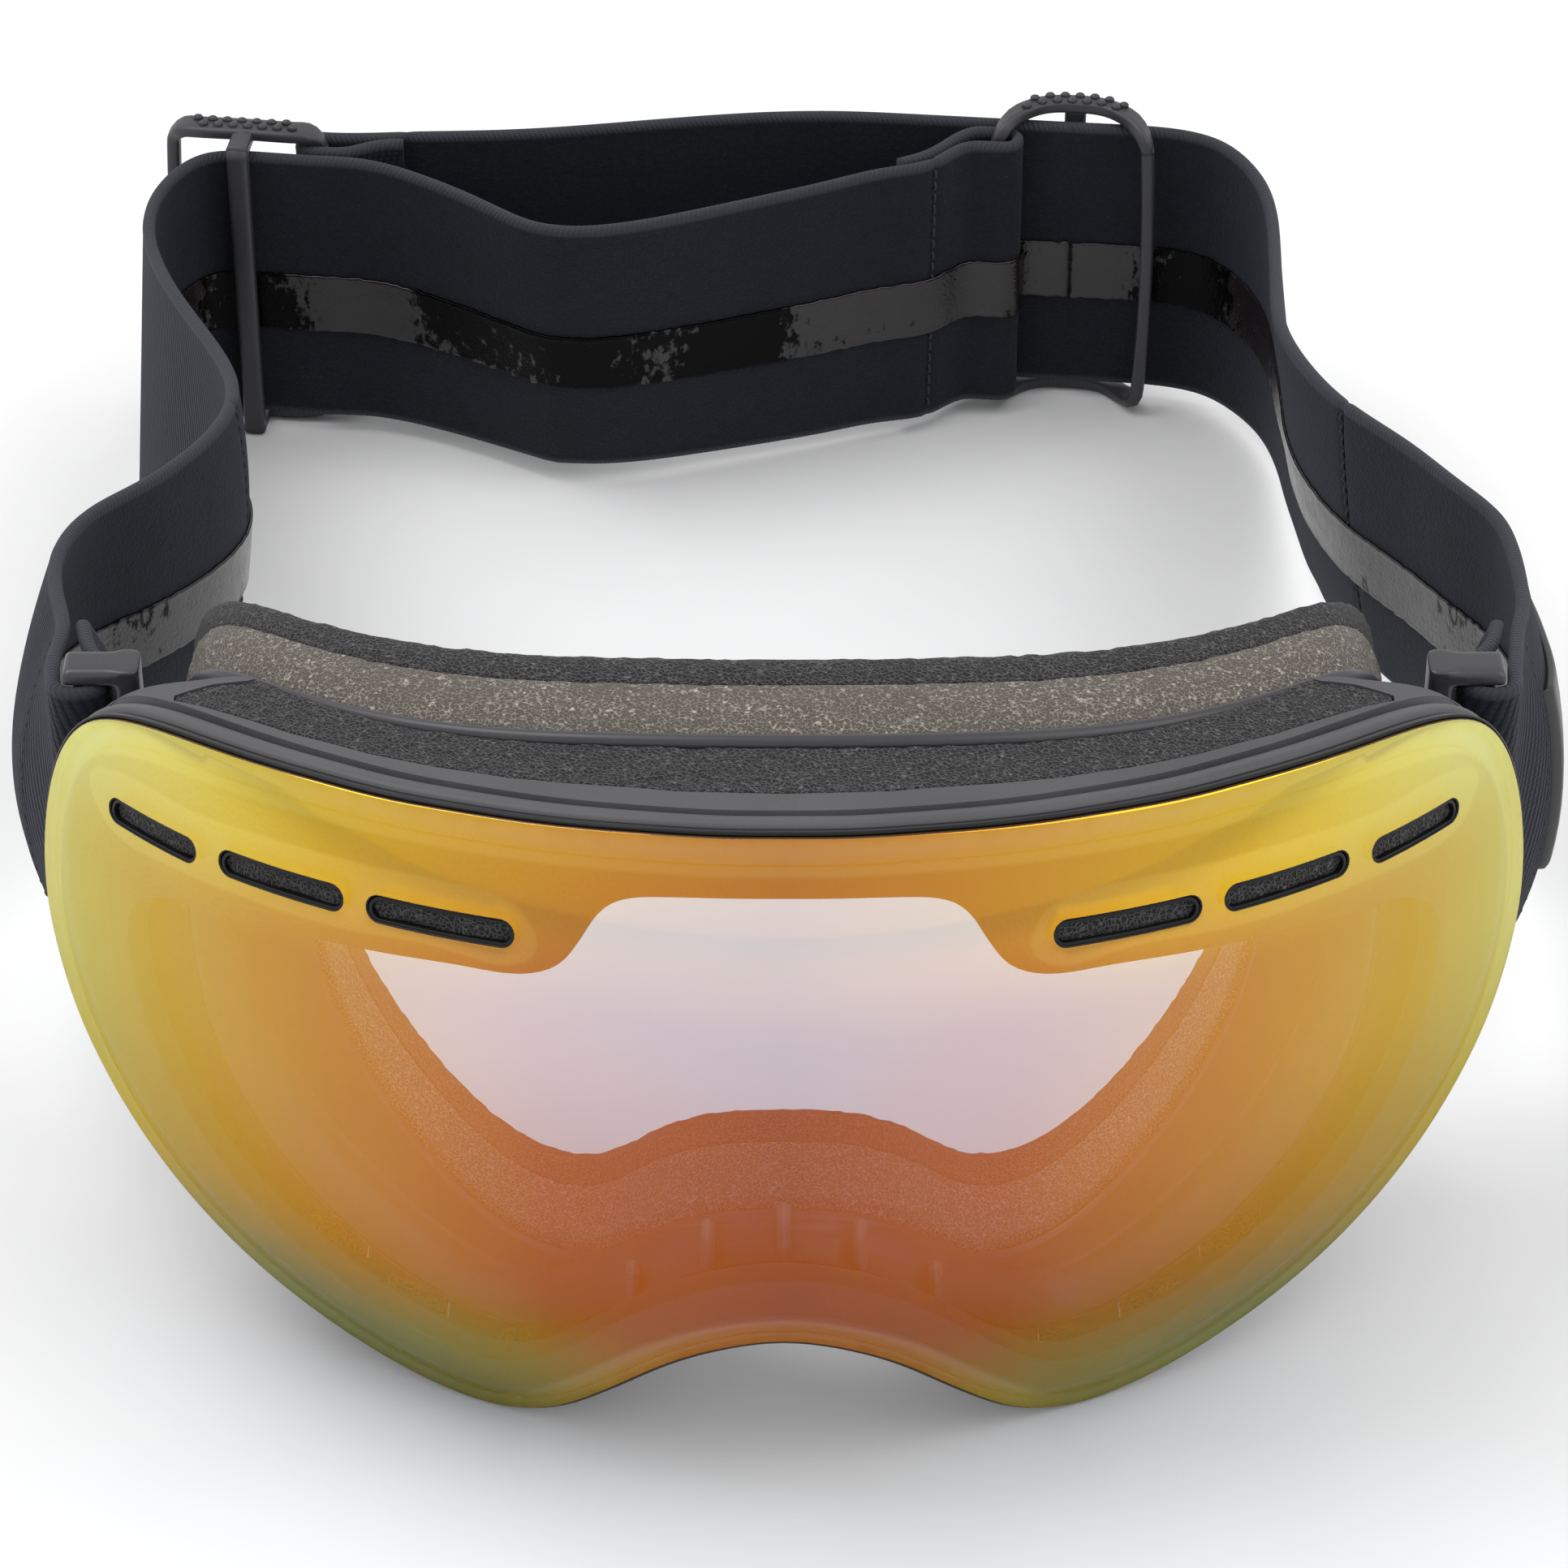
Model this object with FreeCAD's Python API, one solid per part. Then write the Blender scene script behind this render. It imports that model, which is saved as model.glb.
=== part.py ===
import FreeCAD, Part
import math
import os

# Ski goggles with a large spherical double lens, a frame with foam vents, two outriggers
# and a two-piece elastic strap with two ladder-lock sliders.
# Millimetres, +Z up.  The lens faces -Y, +X is the right-hand side seen from in front.
# The goggles stand on the lower lens edge and the sliders.
# Parts are modelled with y = 0 at the front pole of the lens and shifted on saving.

Vector = FreeCAD.Vector
os.makedirs("parts", exist_ok=True)

# ---------------------------------------------------------------- dimensions
Y_SHIFT = -124.35         # puts the origin at the middle of the length

# lens: all layers lie on concentric spheres
LENS_R = 105.0            # outer radius of the outer lens
OUTER_LENS_T = 1.4
LENS_GAP = 3.0            # air gap held by the spacer gasket
INNER_LENS_T = 1.2
SPHERE_Z = 50.0           # height of the sphere centre
SPHERE_CENTRE = Vector(0, LENS_R, SPHERE_Z)
OUTER_LENS_BACK_R = LENS_R - OUTER_LENS_T
GASKET_BACK_R = OUTER_LENS_BACK_R - LENS_GAP
INNER_LENS_BACK_R = GASKET_BACK_R - INNER_LENS_T
SLOT_R = 1.5              # half height of a vent slot through the lens
SLEEVE_WALL = 0.4

# outer frame
FRAME_R = 100.4           # sphere on which the frame outline is laid out
FRAME_FRONT_R = 99.5      # sphere of the frame's front edge
FRAME_SETBACK = 2.5       # frame rear edge in front of the flange
FRAME_REAR_T = 1.8        # rear wall
FRAME_WALL_T = 1.6        # side wall
WINDOW_Z = 78.0           # underside of the brow window cutter
WINDOW_TOP_Z = 110.0
CHEEK_HOLES_X = (31.0, 41.0, 51.0)
CHEEK_HOLE_W = 7.5
CHEEK_HOLE_D = 5.0

# face flange and foam
FLANGE_Y = 29.9           # flange position at the brow centre
FLANGE_A, FLANGE_B = 0.0021, 8.48e-7   # plan curve, y = FLANGE_Y + A x^2 + B x^4
FLANGE_KINK_X = 76.0      # the plan curve runs straight outside this x
FLANGE_T = 1.6
BASE_FOAM_T = 10.0        # open-cell base foam
TOP_FOAM_T = 5.0          # denser face foam
LINING_T = 1.0            # fleece lining
FOAM_GAP = 0.08           # clearance between layers

# outriggers
BAR_R = 1.8
BAR_X, BAR_Y = 84.6, 66.0 # bar position (strap swing axis)
BAR_Z, BAR_LENGTH = 25.5, 52.9
FINGER_SIZE = (10.4, 5.2, 3.2)
LOW_FINGER_Z, TOP_FINGER_Z = 23.6, 76.7
SPINE_X, SPINE_W = 77.0, 3.2
OUTRIGGER_Y = 63.4        # front of fingers and spine
PEG_X, PEG_W, PEG_H = 77.4, 2.4, 8.0

# strap
STRAP_T = 1.8
STRAP_H = 45.0
STRAP_FACE = STRAP_T / 2  # webbing centre to either face
SEAM_GAP = 0.04
GRIP_H = 9.6              # silicone strip width
GRIP_T = 0.4
GRIP_DROP = 29.6          # lower edge of the strip below the webbing top line
STITCH_L, STITCH_STEP = 1.5, 2.2
STITCH_W, STITCH_T = 0.4, 0.28

# sliders
LEFT_SLIDER = (-79.7, 236.0, -0.12)    # centre x, y and direction dy/dx
RIGHT_SLIDER = (43.0, 244.3, -0.10)
SLIDER_W = 25.0           # along the webbing
SLIDER_H = 50.0
RAIL_H = 2.2
RAIL_HALF_T = 1.15
END_BAR_W = 3.0
END_BAR_FRONT, END_BAR_BACK = 3.7, 5.6
END_BAR_MID = (END_BAR_FRONT + END_BAR_BACK) / 2
CENTRE_BAR_HALF_W = 1.6
CENTRE_BAR_FRONT, CENTRE_BAR_BACK = -3.6, -1.6
CENTRE_BAR_MID = (CENTRE_BAR_FRONT + CENTRE_BAR_BACK) / 2

# ------------------------------------------------------------ outline tables
# Half outlines are (x, z) from the nose centre to the brow centre.
LENS_HALF = [
    (0.0, 25.5), (7.2, 23.8), (13.5, 19.9), (18.7, 14.6), (23.5, 8.9), (28.6, 3.5),
    (35.2, 0.3), (42.6, 1.2), (49.4, 4.2), (55.8, 7.9), (62.0, 12.0), (67.8, 16.7),
    (73.0, 22.0), (77.6, 27.9), (81.5, 34.3), (84.6, 41.0), (86.7, 48.2), (87.9, 55.5),
    (87.9, 63.0), (86.9, 70.4), (84.7, 77.4), (80.4, 83.5), (74.0, 87.2), (66.8, 89.2),
    (59.5, 90.5), (52.1, 91.5), (44.7, 92.2), (37.3, 92.9), (29.8, 93.4), (22.4, 93.8),
    (15.0, 94.1), (7.5, 94.2), (0.0, 94.3)]
# outer edge of the face flange
FLANGE_HALF = [
    (0.0, 27.0), (7.0, 25.2), (13.0, 20.8), (18.5, 14.8), (24.0, 9.2), (30.0, 5.6),
    (37.0, 5.0), (44.0, 7.6), (51.0, 12.4), (57.5, 18.4), (63.0, 25.2), (67.5, 33.2),
    (70.6, 42.0), (72.4, 51.5), (73.0, 61.0), (72.4, 70.5), (70.2, 78.6), (65.6, 84.6),
    (58.5, 88.0), (50.0, 90.0), (40.0, 91.5), (30.0, 92.5), (20.0, 93.2), (10.0, 93.5),
    (0.0, 93.6)]
# eye opening in the face foam
OPENING_HALF = [
    (0.0, 33.6), (6.0, 32.6), (12.0, 29.2), (17.5, 23.4), (22.5, 17.8), (28.0, 15.0),
    (34.0, 15.8), (40.0, 20.0), (45.5, 26.4), (50.0, 34.0), (53.4, 43.5), (55.0, 53.0),
    (54.6, 62.0), (51.8, 69.6), (46.5, 75.2), (38.5, 78.4), (28.0, 79.8), (14.0, 80.4),
    (0.0, 80.6)]
# inner edge of the spacer gasket, passing below the vent slots
GASKET_HALF = [
    (0.0, 35.4), (8.0, 33.8), (15.6, 29.4), (22.0, 23.0), (27.4, 16.6), (32.4, 11.8),
    (38.0, 10.2), (44.4, 12.2), (51.4, 16.2), (58.4, 21.2), (64.6, 27.0), (70.0, 34.0),
    (74.0, 41.8), (76.6, 49.6), (77.8, 57.0), (77.2, 63.4), (73.6, 67.6), (66.4, 70.2),
    (57.0, 72.4), (46.0, 74.2), (36.0, 75.4), (29.6, 76.0), (25.4, 78.0), (22.6, 82.0),
    (19.6, 85.6), (14.0, 87.0), (7.0, 87.3), (0.0, 87.4)]
# vent slots, centre-line ends (x, z)
SLOTS = [((31.6, 80.9), (45.4, 80.0)), ((51.0, 79.5), (63.1, 78.1)), ((68.5, 77.0), (77.2, 75.9))]
# closed outlines (x, z) of the right vent liner plate and of the foam behind it
LINER_PLATE = [
    (26.8, 80.8), (28.6, 84.4), (34.0, 85.3), (46.0, 84.6), (58.0, 83.3), (69.0, 81.6),
    (76.6, 80.4), (80.6, 77.0), (79.2, 73.2), (74.0, 72.0), (63.0, 74.2), (50.0, 75.8),
    (36.0, 77.2), (29.0, 77.8)]
LINER_FOAM = [
    (27.2, 80.8), (28.8, 84.0), (34.0, 84.9), (46.0, 84.2), (58.0, 82.9), (69.0, 81.2),
    (76.4, 80.0), (80.1, 77.0), (78.9, 73.6), (74.0, 72.4), (63.0, 74.6), (50.0, 76.2),
    (36.0, 77.6), (29.3, 78.2)]
# brow window in plan, right half (x, y): front edge, then outer end
WINDOW_FRONT = [
    (0.0, 18.6), (12.0, 19.3), (24.0, 21.4), (31.0, 23.0), (39.0, 25.8), (47.0, 29.4),
    (56.0, 34.7), (64.0, 40.6), (70.6, 45.6)]
WINDOW_END = [(70.6, 46.6), (66.0, 46.9), (62.0, 46.4)]

# plan curves of the webbing, (x, y)
LEFT_TAB = [
    (-87.6, 66.0), (-89.9, 72.0), (-94.2, 82.0), (-96.3, 92.0), (-94.9, 102.0),
    (-90.6, 111.0), (-85.0, 119.5), (-80.5, 128.0), (-77.0, 138.0), (-75.4, 149.0)]
LEFT_STRAP = [
    (-75.4, 149.0), (-75.6, 158.0), (-77.8, 168.0), (-81.3, 179.0), (-85.5, 191.0),
    (-89.6, 203.0), (-92.6, 214.0), (-93.2, 222.5), (-91.6, 230.5), (-87.6, 235.6),
    (-83.0, 236.4), (-79.7, 236.0), (-74.0, 235.32), (-68.0, 234.6), (-62.0, 233.88),
    (-57.5, 232.6), (-52.0, 229.4), (-46.0, 224.9), (-39.5, 220.3), (-32.0, 217.8),
    (-24.0, 218.0), (-14.0, 220.7), (-3.0, 225.0), (7.0, 229.3), (15.0, 232.6), (21.0, 234.8)]
RIGHT_TAB = [
    (87.6, 66.0), (89.6, 72.0), (92.6, 82.0), (94.6, 92.0), (95.2, 102.0), (94.4, 113.0),
    (92.0, 124.0), (88.2, 135.0), (83.6, 146.0), (81.8, 150.2)]
RIGHT_STRAP = [
    (81.8, 150.2), (78.6, 158.5), (75.4, 170.0), (73.4, 182.0), (72.6, 195.0), (72.7, 206.0),
    (72.9, 216.0), (71.9, 226.0), (69.0, 234.0), (64.4, 239.8), (59.4, 242.3), (54.0, 243.2),
    (43.0, 244.3), (32.0, 245.4), (20.0, 246.6), (9.0, 247.6), (-2.0, 247.6), (-14.0, 246.4),
    (-28.0, 244.6), (-38.0, 243.6), (-48.0, 242.9), (-56.0, 242.2), (-61.0, 241.5)]
# top line of the webbing seen from the side, (y, z)
TOP_LINE = [
    (40.0, 78.8), (66.0, 75.4), (90.0, 71.0), (120.0, 65.4), (150.0, 59.6), (175.0, 54.6),
    (198.0, 50.3), (214.0, 48.3), (226.0, 47.6), (236.0, 47.5), (250.0, 47.5), (275.0, 47.5)]


# ------------------------------------------------------------ shape helpers
def spline(points):
    curve = Part.BSplineCurve()
    curve.interpolate(points)
    return curve


def closed_edge(points):
    curve = Part.BSplineCurve()
    curve.interpolate(points, PeriodicFlag=True)
    return curve.toShape()


def flat_face(points):
    return Part.Face(Part.makePolygon(points + [points[0]]))


def prism(points, height):
    return flat_face(points).extrude(Vector(0, 0, height))


def ribbon(first, second, travel):
    # area between two splines of points, extruded
    wire = Part.Wire([spline(first).toShape(), Part.makeLine(first[-1], second[-1]),
                      spline(second).toShape(), Part.makeLine(second[0], first[0])])
    return Part.Face(wire).extrude(travel)


def outward_solid(shell):
    solid = Part.makeSolid(shell)
    if solid.Volume < 0:
        solid.reverse()
    return solid


def ring_solid(loops):
    # closed band: ruled faces between successive closed curves, last joined to first
    edges = [closed_edge(points) for points in loops]
    shell = Part.makeShell([Part.makeRuledSurface(edge, following)
                            for edge, following in zip(edges, edges[1:] + edges[:1])])
    shell.sewShape()
    return outward_solid(shell)


def mirrored(shape):
    return shape.mirror(Vector(0, 0, 0), Vector(1, 0, 0))


def cut_both_sides(shape, tools):
    for tool in tools:
        shape = shape.cut(tool).cut(mirrored(tool))
    return shape


def save(name, shape):
    if shape.ShapeType == "Compound" and len(shape.Solids) == 1:
        shape = shape.Solids[0]
    shape = shape.copy()
    shape.translate(Vector(0, Y_SHIFT, 0))
    shape.exportStep("parts/%s.step" % name)


# ---------------------------------------------------------- closed outlines
HALF_STATIONS = 54         # spans on half of every closed outline
SAMPLES = 1200


def half_stations(half):
    # even stations along a half outline, aligned at its lowest point and its upper corner;
    # mirrored neighbours at both ends keep the spline smooth across the middle
    before = [(-x, z) for x, z in (half[2], half[1])]
    after = [(-x, z) for x, z in (half[-2], half[-3])]
    curve = spline([Vector(x, 0, z) for x, z in before + half + after])
    start, end = [curve.parameter(Vector(x, 0, z)) for x, z in (half[0], half[-1])]
    dense = []
    for i in range(SAMPLES + 1):
        point = curve.value(start + (end - start) * i / SAMPLES)
        dense.append((point.x, point.z))
    dense[0] = half[0]
    dense[-1] = half[-1]
    length = [0.0]
    for (x0, z0), (x1, z1) in zip(dense, dense[1:]):
        length.append(length[-1] + math.hypot(x1 - x0, z1 - z0))

    lowest = min(range(len(dense)), key=lambda i: dense[i][1])
    corner = max(range(len(dense)), key=lambda i: dense[i][0] * 1.2 + dense[i][1])
    marks = [(0, 0), (int(HALF_STATIONS * 0.2), lowest),
             (int(HALF_STATIONS * 0.66), corner), (HALF_STATIONS, SAMPLES)]
    stations = []
    for (station0, sample0), (station1, sample1) in zip(marks, marks[1:]):
        run = length[sample1] - length[sample0]
        for i in range(station0, station1):
            target = length[sample0] + run * (i - station0) / (station1 - station0)
            j = sample0
            while length[j + 1] < target:
                j += 1
            part = (target - length[j]) / (length[j + 1] - length[j])
            (x0, z0), (x1, z1) = dense[j], dense[j + 1]
            stations.append((x0 + part * (x1 - x0), z0 + part * (z1 - z0)))
    return stations + [dense[-1]]


def full_outline(half):
    right = half_stations(half)
    return right + [(-x, z) for x, z in right[::-1]][1:-1]


def offset(outline, distance):
    # parallel closed outline, station by station, outward for distance > 0
    moved = []
    for i, (x, z) in enumerate(outline):
        x0, z0 = outline[i - 1]
        x1, z1 = outline[(i + 1) % len(outline)]
        chord = math.hypot(x1 - x0, z1 - z0)
        moved.append((x + distance * (z1 - z0) / chord, z - distance * (x1 - x0) / chord))
    return moved


def to_map(points):
    # (x, z) on the outer sphere -> arc lengths from the sphere's front pole
    mapped = []
    for x, z in points:
        radius = math.hypot(x, z - SPHERE_Z)
        scale = math.asin(radius / LENS_R) * LENS_R / radius
        mapped.append((x * scale, (z - SPHERE_Z) * scale))
    return mapped


def on_ball(mapped, radius):
    # arc lengths -> points on a concentric sphere
    points = []
    for x, z in mapped:
        arc = math.hypot(x, z)
        scale = radius * math.sin(arc / LENS_R) / arc
        y = LENS_R - radius * math.cos(arc / LENS_R)
        points.append(Vector(x * scale, y, SPHERE_Z + z * scale))
    return points


LENS_MAP = to_map(full_outline(LENS_HALF))
GASKET_MAP = to_map(full_outline(GASKET_HALF))
FLANGE = full_outline(FLANGE_HALF)
OPENING = full_outline(OPENING_HALF)
FRAME = [(point.x, point.z) for point in on_ball(offset(LENS_MAP, 1.5), FRAME_R)]


# -------------------------------------------------------------- lens module
def pyramid(mapped):
    # flat-sided cone about the sphere's centre through an outline given in arc lengths,
    # closed inside and outside the lens layers
    near = on_ball(mapped, 84)
    far = on_ball(mapped, 125)
    near_tip = SPHERE_CENTRE + Vector(0, -70, 8)
    far_tip = SPHERE_CENTRE + Vector(0, -132, 10)
    faces = []
    for i in range(len(near)):
        j = (i + 1) % len(near)
        faces.append(flat_face([near[i], near[j], far[j], far[i]]))
        faces.append(flat_face([near[i], near[j], near_tip]))
        faces.append(flat_face([far[i], far[j], far_tip]))
    return outward_solid(Part.makeShell(faces))


def ball(radius):
    return Part.makeSphere(radius, SPHERE_CENTRE, Vector(0, 0, 1), -90, 90, 360)


def ball_shell(outer_radius, inner_radius):
    return ball(outer_radius).cut(ball(inner_radius))


def slot_tool(start, end, radius):
    # rounded slot cutter, square to the sphere at the slot's middle
    middle_xz = (0.5 * (start[0] + end[0]), 0.5 * (start[1] + end[1]))
    middle, first, last = on_ball(to_map([middle_xz, start, end]), LENS_R)
    normal = middle - SPHERE_CENTRE
    normal.normalize()
    along = last - first
    along = along - normal * along.dot(normal)
    half = along.Length / 2
    along.normalize()
    rise = normal.cross(along) * radius
    base = middle - normal * 14.0
    left, right = base - along * half, base + along * half
    wire = Part.Wire([
        Part.makeLine(left + rise, right + rise),
        Part.Arc(right + rise, right + along * radius, right - rise).toShape(),
        Part.makeLine(right - rise, left - rise),
        Part.Arc(left - rise, left - along * radius, left + rise).toShape()])
    return Part.Face(wire).extrude(normal * 20.0)


def slot_tools(radius):
    return [slot_tool(start, end, radius) for start, end in SLOTS]


def outer_lens():
    lens = ball_shell(LENS_R, OUTER_LENS_BACK_R).common(pyramid(LENS_MAP))
    return cut_both_sides(lens, slot_tools(SLOT_R + 0.05))


def lens_gasket():
    # foam spacer between the lenses, reaching round the vent slots
    layer = ball_shell(OUTER_LENS_BACK_R - 0.02, GASKET_BACK_R + 0.02)
    gasket = layer.common(pyramid(offset(LENS_MAP, -3.8))).cut(pyramid(GASKET_MAP))
    return cut_both_sides(gasket, slot_tools(SLOT_R + 0.1))


def inner_lens():
    return ball_shell(GASKET_BACK_R, INNER_LENS_BACK_R).common(pyramid(offset(GASKET_MAP, 2.6)))


def lens_carrier():
    # front ring: groove behind the lens edge, bead, tongue that clips into the frame
    front = OUTER_LENS_BACK_R - 0.15
    # (offset from the lens outline, sphere radius)
    section = [(-0.9, front), (-0.9, 102.2), (0.7, 101.9), (1.5, 101.0), (1.5, 99.7),
               (-2.0, 99.7), (-2.0, 98.9), (-2.9, 98.9), (-3.0, 99.8), (-3.4, 101.2),
               (-3.5, front)]
    return ring_solid([on_ball(offset(LENS_MAP, shift), radius) for shift, radius in section])


def right_vent_liner():
    # plate behind the lens with three sleeves through it
    plate = pyramid(to_map(LINER_PLATE[::-1]))
    liner = ball_shell(INNER_LENS_BACK_R - 0.05, 98.2).common(plate)
    for tool in slot_tools(SLOT_R):
        liner = liner.fuse(tool.common(ball_shell(LENS_R - 0.2, 98.3)))
    for tool in slot_tools(SLOT_R - SLEEVE_WALL):
        liner = liner.cut(tool)
    return liner


def right_liner_foam():
    return ball_shell(98.15, 95.8).common(pyramid(to_map(LINER_FOAM[::-1])))


# --------------------------------------------------- frame and flange curves
def ball_y(x, z, radius):
    return LENS_R - math.sqrt(radius ** 2 - x ** 2 - (z - SPHERE_Z) ** 2)


def smooth_step(start, end, value):
    part = max(0.0, min(1.0, (value - start) / (end - start)))
    return part * part * (3 - 2 * part)


def flange_y(x, z):
    # plan curve of the brow, further back on the cheeks, drawn forward round the nose
    reach = min(abs(x), FLANGE_KINK_X)
    y = FLANGE_Y + FLANGE_A * reach ** 2 + FLANGE_B * reach ** 4
    y += 0.9 * max(0.0, abs(x) - FLANGE_KINK_X)
    low = smooth_step(64.0, 26.0, z)
    y += 5.0 * math.exp(-((reach - 44.0) / 22.0) ** 2) * low
    y -= 12.0 * math.exp(-(reach / 20.0) ** 2) * low
    return y


def rear_y(x, z):
    # rear edge of the outer frame: along the flange, then straight out to the temple corner
    reach = abs(x)
    temple = 47.0 + 0.16 * (reach - 60.0) + 0.0125 * max(0.0, reach - 64.0) ** 2
    blend = 0.5 + 0.5 * math.tanh((reach - 61.0) / 1.5)
    return (flange_y(x, z) - FRAME_SETBACK) * (1 - blend) + min(temple, 60.0) * blend


def inside_rear(x, z):
    return rear_y(x, z) - FRAME_REAR_T


def from_ball(radius):
    return lambda x, z: ball_y(x, z, radius)


def from_flange(distance):
    return lambda x, z: flange_y(x, z) + distance


def lay(outline, depth):
    # outline (x, z) with y given by a depth function
    return [Vector(x, depth(x, z), z) for x, z in outline]


# -------------------------------------------------------------------- frame
def brow_window(gap, bottom, back=3.0):
    # brow window cutter shrunk by gap, its rear edge shifted by back
    right = [(x - gap * 0.9, y + gap) for x, y in WINDOW_FRONT[1:]]
    right += [(x - gap * 0.9, y - gap * 0.3) for x, y in WINDOW_END]
    for x in (58.0, 50.0, 40.0, 30.0, 20.0, 10.0):
        right.append((x - gap * 0.5, flange_y(x, 90.0) - FRAME_SETBACK + back))
    middle_front = (0.0, WINDOW_FRONT[0][1] + gap)
    middle_rear = (0.0, flange_y(0, 90.0) - FRAME_SETBACK + back)
    left = [(-x, y) for x, y in right[::-1]]
    outline = [middle_front] + right + [middle_rear] + left
    return prism([Vector(x, y, bottom) for x, y in outline], WINDOW_TOP_Z - bottom)


def cheek_box(x, gap):
    # block of one lower vent, shrunk by gap
    middle_x = x + CHEEK_HOLE_W / 2
    middle_y = 0.5 * (inside_rear(middle_x, 4.0) + ball_y(middle_x, 6.0, FRAME_FRONT_R))
    return Part.makeBox(CHEEK_HOLE_W - 2 * gap, CHEEK_HOLE_D - 2 * gap, 30.0,
                        Vector(x + gap, middle_y - CHEEK_HOLE_D / 2 + gap, -8.0))


def outer_frame():
    front = from_ball(FRAME_FRONT_R)
    inner = offset(FRAME, -FRAME_WALL_T)
    rear_inner = offset(FLANGE, -1.8)
    frame = ring_solid([lay(FRAME, front), lay(FRAME, rear_y), lay(rear_inner, rear_y),
                        lay(rear_inner, inside_rear), lay(inner, inside_rear),
                        lay(inner, front)])
    frame = frame.cut(brow_window(0.0, WINDOW_Z))
    return cut_both_sides(frame, [cheek_box(x, 0.0) for x in CHEEK_HOLES_X])


def face_frame():
    # soft inner tube, flange plate and outer bead
    front = from_ball(95.5)
    # (outline, offset, depth)
    section = [(FLANGE, -2.3, front), (FLANGE, -2.3, from_flange(-2.1)),
               (FLANGE, 0.5, from_flange(-2.1)), (FLANGE, 0.5, from_flange(0.0)),
               (FLANGE, -0.6, from_flange(0.0)), (OPENING, 1.0, from_flange(0.0)),
               (OPENING, 1.0, from_flange(-FLANGE_T)), (FLANGE, -3.9, from_flange(-FLANGE_T)),
               (FLANGE, -3.9, front)]
    face = ring_solid([lay(offset(outline, shift), depth) for outline, shift, depth in section])
    face = face.cut(brow_window(4.0, 84.0, back=-4.0))
    # five ribs over the nose channel: x, front y, length, z before the 3.4 drop
    for x, y, length, z in ((-18.0, 14.6, 5.4, 22.6), (-9.0, 11.0, 7.4, 30.6),
                            (0.0, 9.9, 8.0, 33.6),
                            (9.0, 11.0, 7.4, 30.6), (18.0, 14.6, 5.4, 22.6)):
        face = face.fuse(Part.makeBox(1.0, length, 3.6, Vector(x - 0.5, y, z - 3.4)))
    return face


def vent_foam_zone():
    # layer just inside the frame outline from which the vent foams are taken
    outer, inner = offset(FRAME, -0.35), offset(FRAME, -1.75)
    front, rear = from_ball(98.0), from_flange(-2.2)
    return ring_solid([lay(outer, front), lay(outer, rear), lay(inner, rear), lay(inner, front)])


def right_lower_foams(zone):
    return [solid for x in CHEEK_HOLES_X for solid in cheek_box(x, 0.1).common(zone).Solids]


def pad(front, rear, front_depth, rear_depth):
    # front and rear list the (outline, offset) rings each face is ruled between,
    # so neighbouring pads lie parallel
    front = [lay(offset(*ring), from_flange(front_depth)) for ring in front]
    rear = [lay(offset(*ring), from_flange(rear_depth)) for ring in rear]
    return ring_solid(front + rear[::-1])


def save_face_foam():
    top_end = BASE_FOAM_T + TOP_FOAM_T
    lining = [(FLANGE, -2.4), (OPENING, 0.4)]
    save("face_foam_base", pad([(FLANGE, -0.6), (OPENING, 1.0), (OPENING, 0.0)],
                               [(FLANGE, -0.6), (FLANGE, -1.6), (OPENING, 0.0)],
                               FOAM_GAP, BASE_FOAM_T))
    save("face_foam_top", pad([(FLANGE, -1.6), (OPENING, 0.0)],
                              [(FLANGE, -1.6)] + lining + [(OPENING, 0.0)],
                              BASE_FOAM_T + FOAM_GAP, top_end))
    save("face_lining", pad(lining, lining, top_end + FOAM_GAP, top_end + LINING_T))


# --------------------------------------------------------------- outriggers
def finger(z):
    box = Part.makeBox(*FINGER_SIZE, Vector(77.2, OUTRIGGER_Y, z))
    return box.makeFillet(1.2, [edge for edge in box.Edges if edge.Length > 5.0])


def right_outrigger(frame):
    # two fingers with the round bar between them, on a spine behind the temple corner
    bar = Part.makeCylinder(BAR_R, BAR_LENGTH, Vector(BAR_X, BAR_Y, BAR_Z))
    height = TOP_FINGER_Z + FINGER_SIZE[2] - LOW_FINGER_Z
    spine = Part.makeBox(SPINE_W, FINGER_SIZE[1], height,
                         Vector(SPINE_X, OUTRIGGER_Y, LOW_FINGER_Z))
    uprights = [edge for edge in spine.Edges if abs(edge.Length - height) < 1e-6]
    spine = spine.makeFillet(1.0, uprights)
    arm = bar.fuse(finger(TOP_FINGER_Z)).fuse(finger(LOW_FINGER_Z)).fuse(spine)
    # two pegs forward to the frame, trimmed to its rear
    for z in (66.0, 32.0):
        peg = Part.makeBox(PEG_W, 17.0, PEG_H, Vector(PEG_X, 50.0, z))
        front = rear_y(PEG_X + PEG_W / 2, z) - 0.3
        arm = arm.fuse(peg.cut(Part.makeBox(10, 60, 90, Vector(74, front - 60.0, 0))).cut(frame))
    return arm.removeSplitter()


# ------------------------------------------------------------------- strap
def strip(path, offset0, offset1, spans=None):
    # vertical wall between two offsets of a plan curve
    curve = spline([Vector(x, y, 0) for x, y in path])
    spans = spans or 3 * len(path)
    start, end = curve.FirstParameter, curve.LastParameter
    sides = ([], [])
    for i in range(spans + 1):
        at = start + (end - start) * i / spans
        point, tangent = curve.value(at), curve.tangent(at)[0]
        for side, shift in zip(sides, (offset0, offset1)):
            side.append(Vector(point.x - tangent.y * shift, point.y + tangent.x * shift, -5.0))
    return ribbon(sides[0], sides[1], Vector(0, 0, 105.0))


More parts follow.
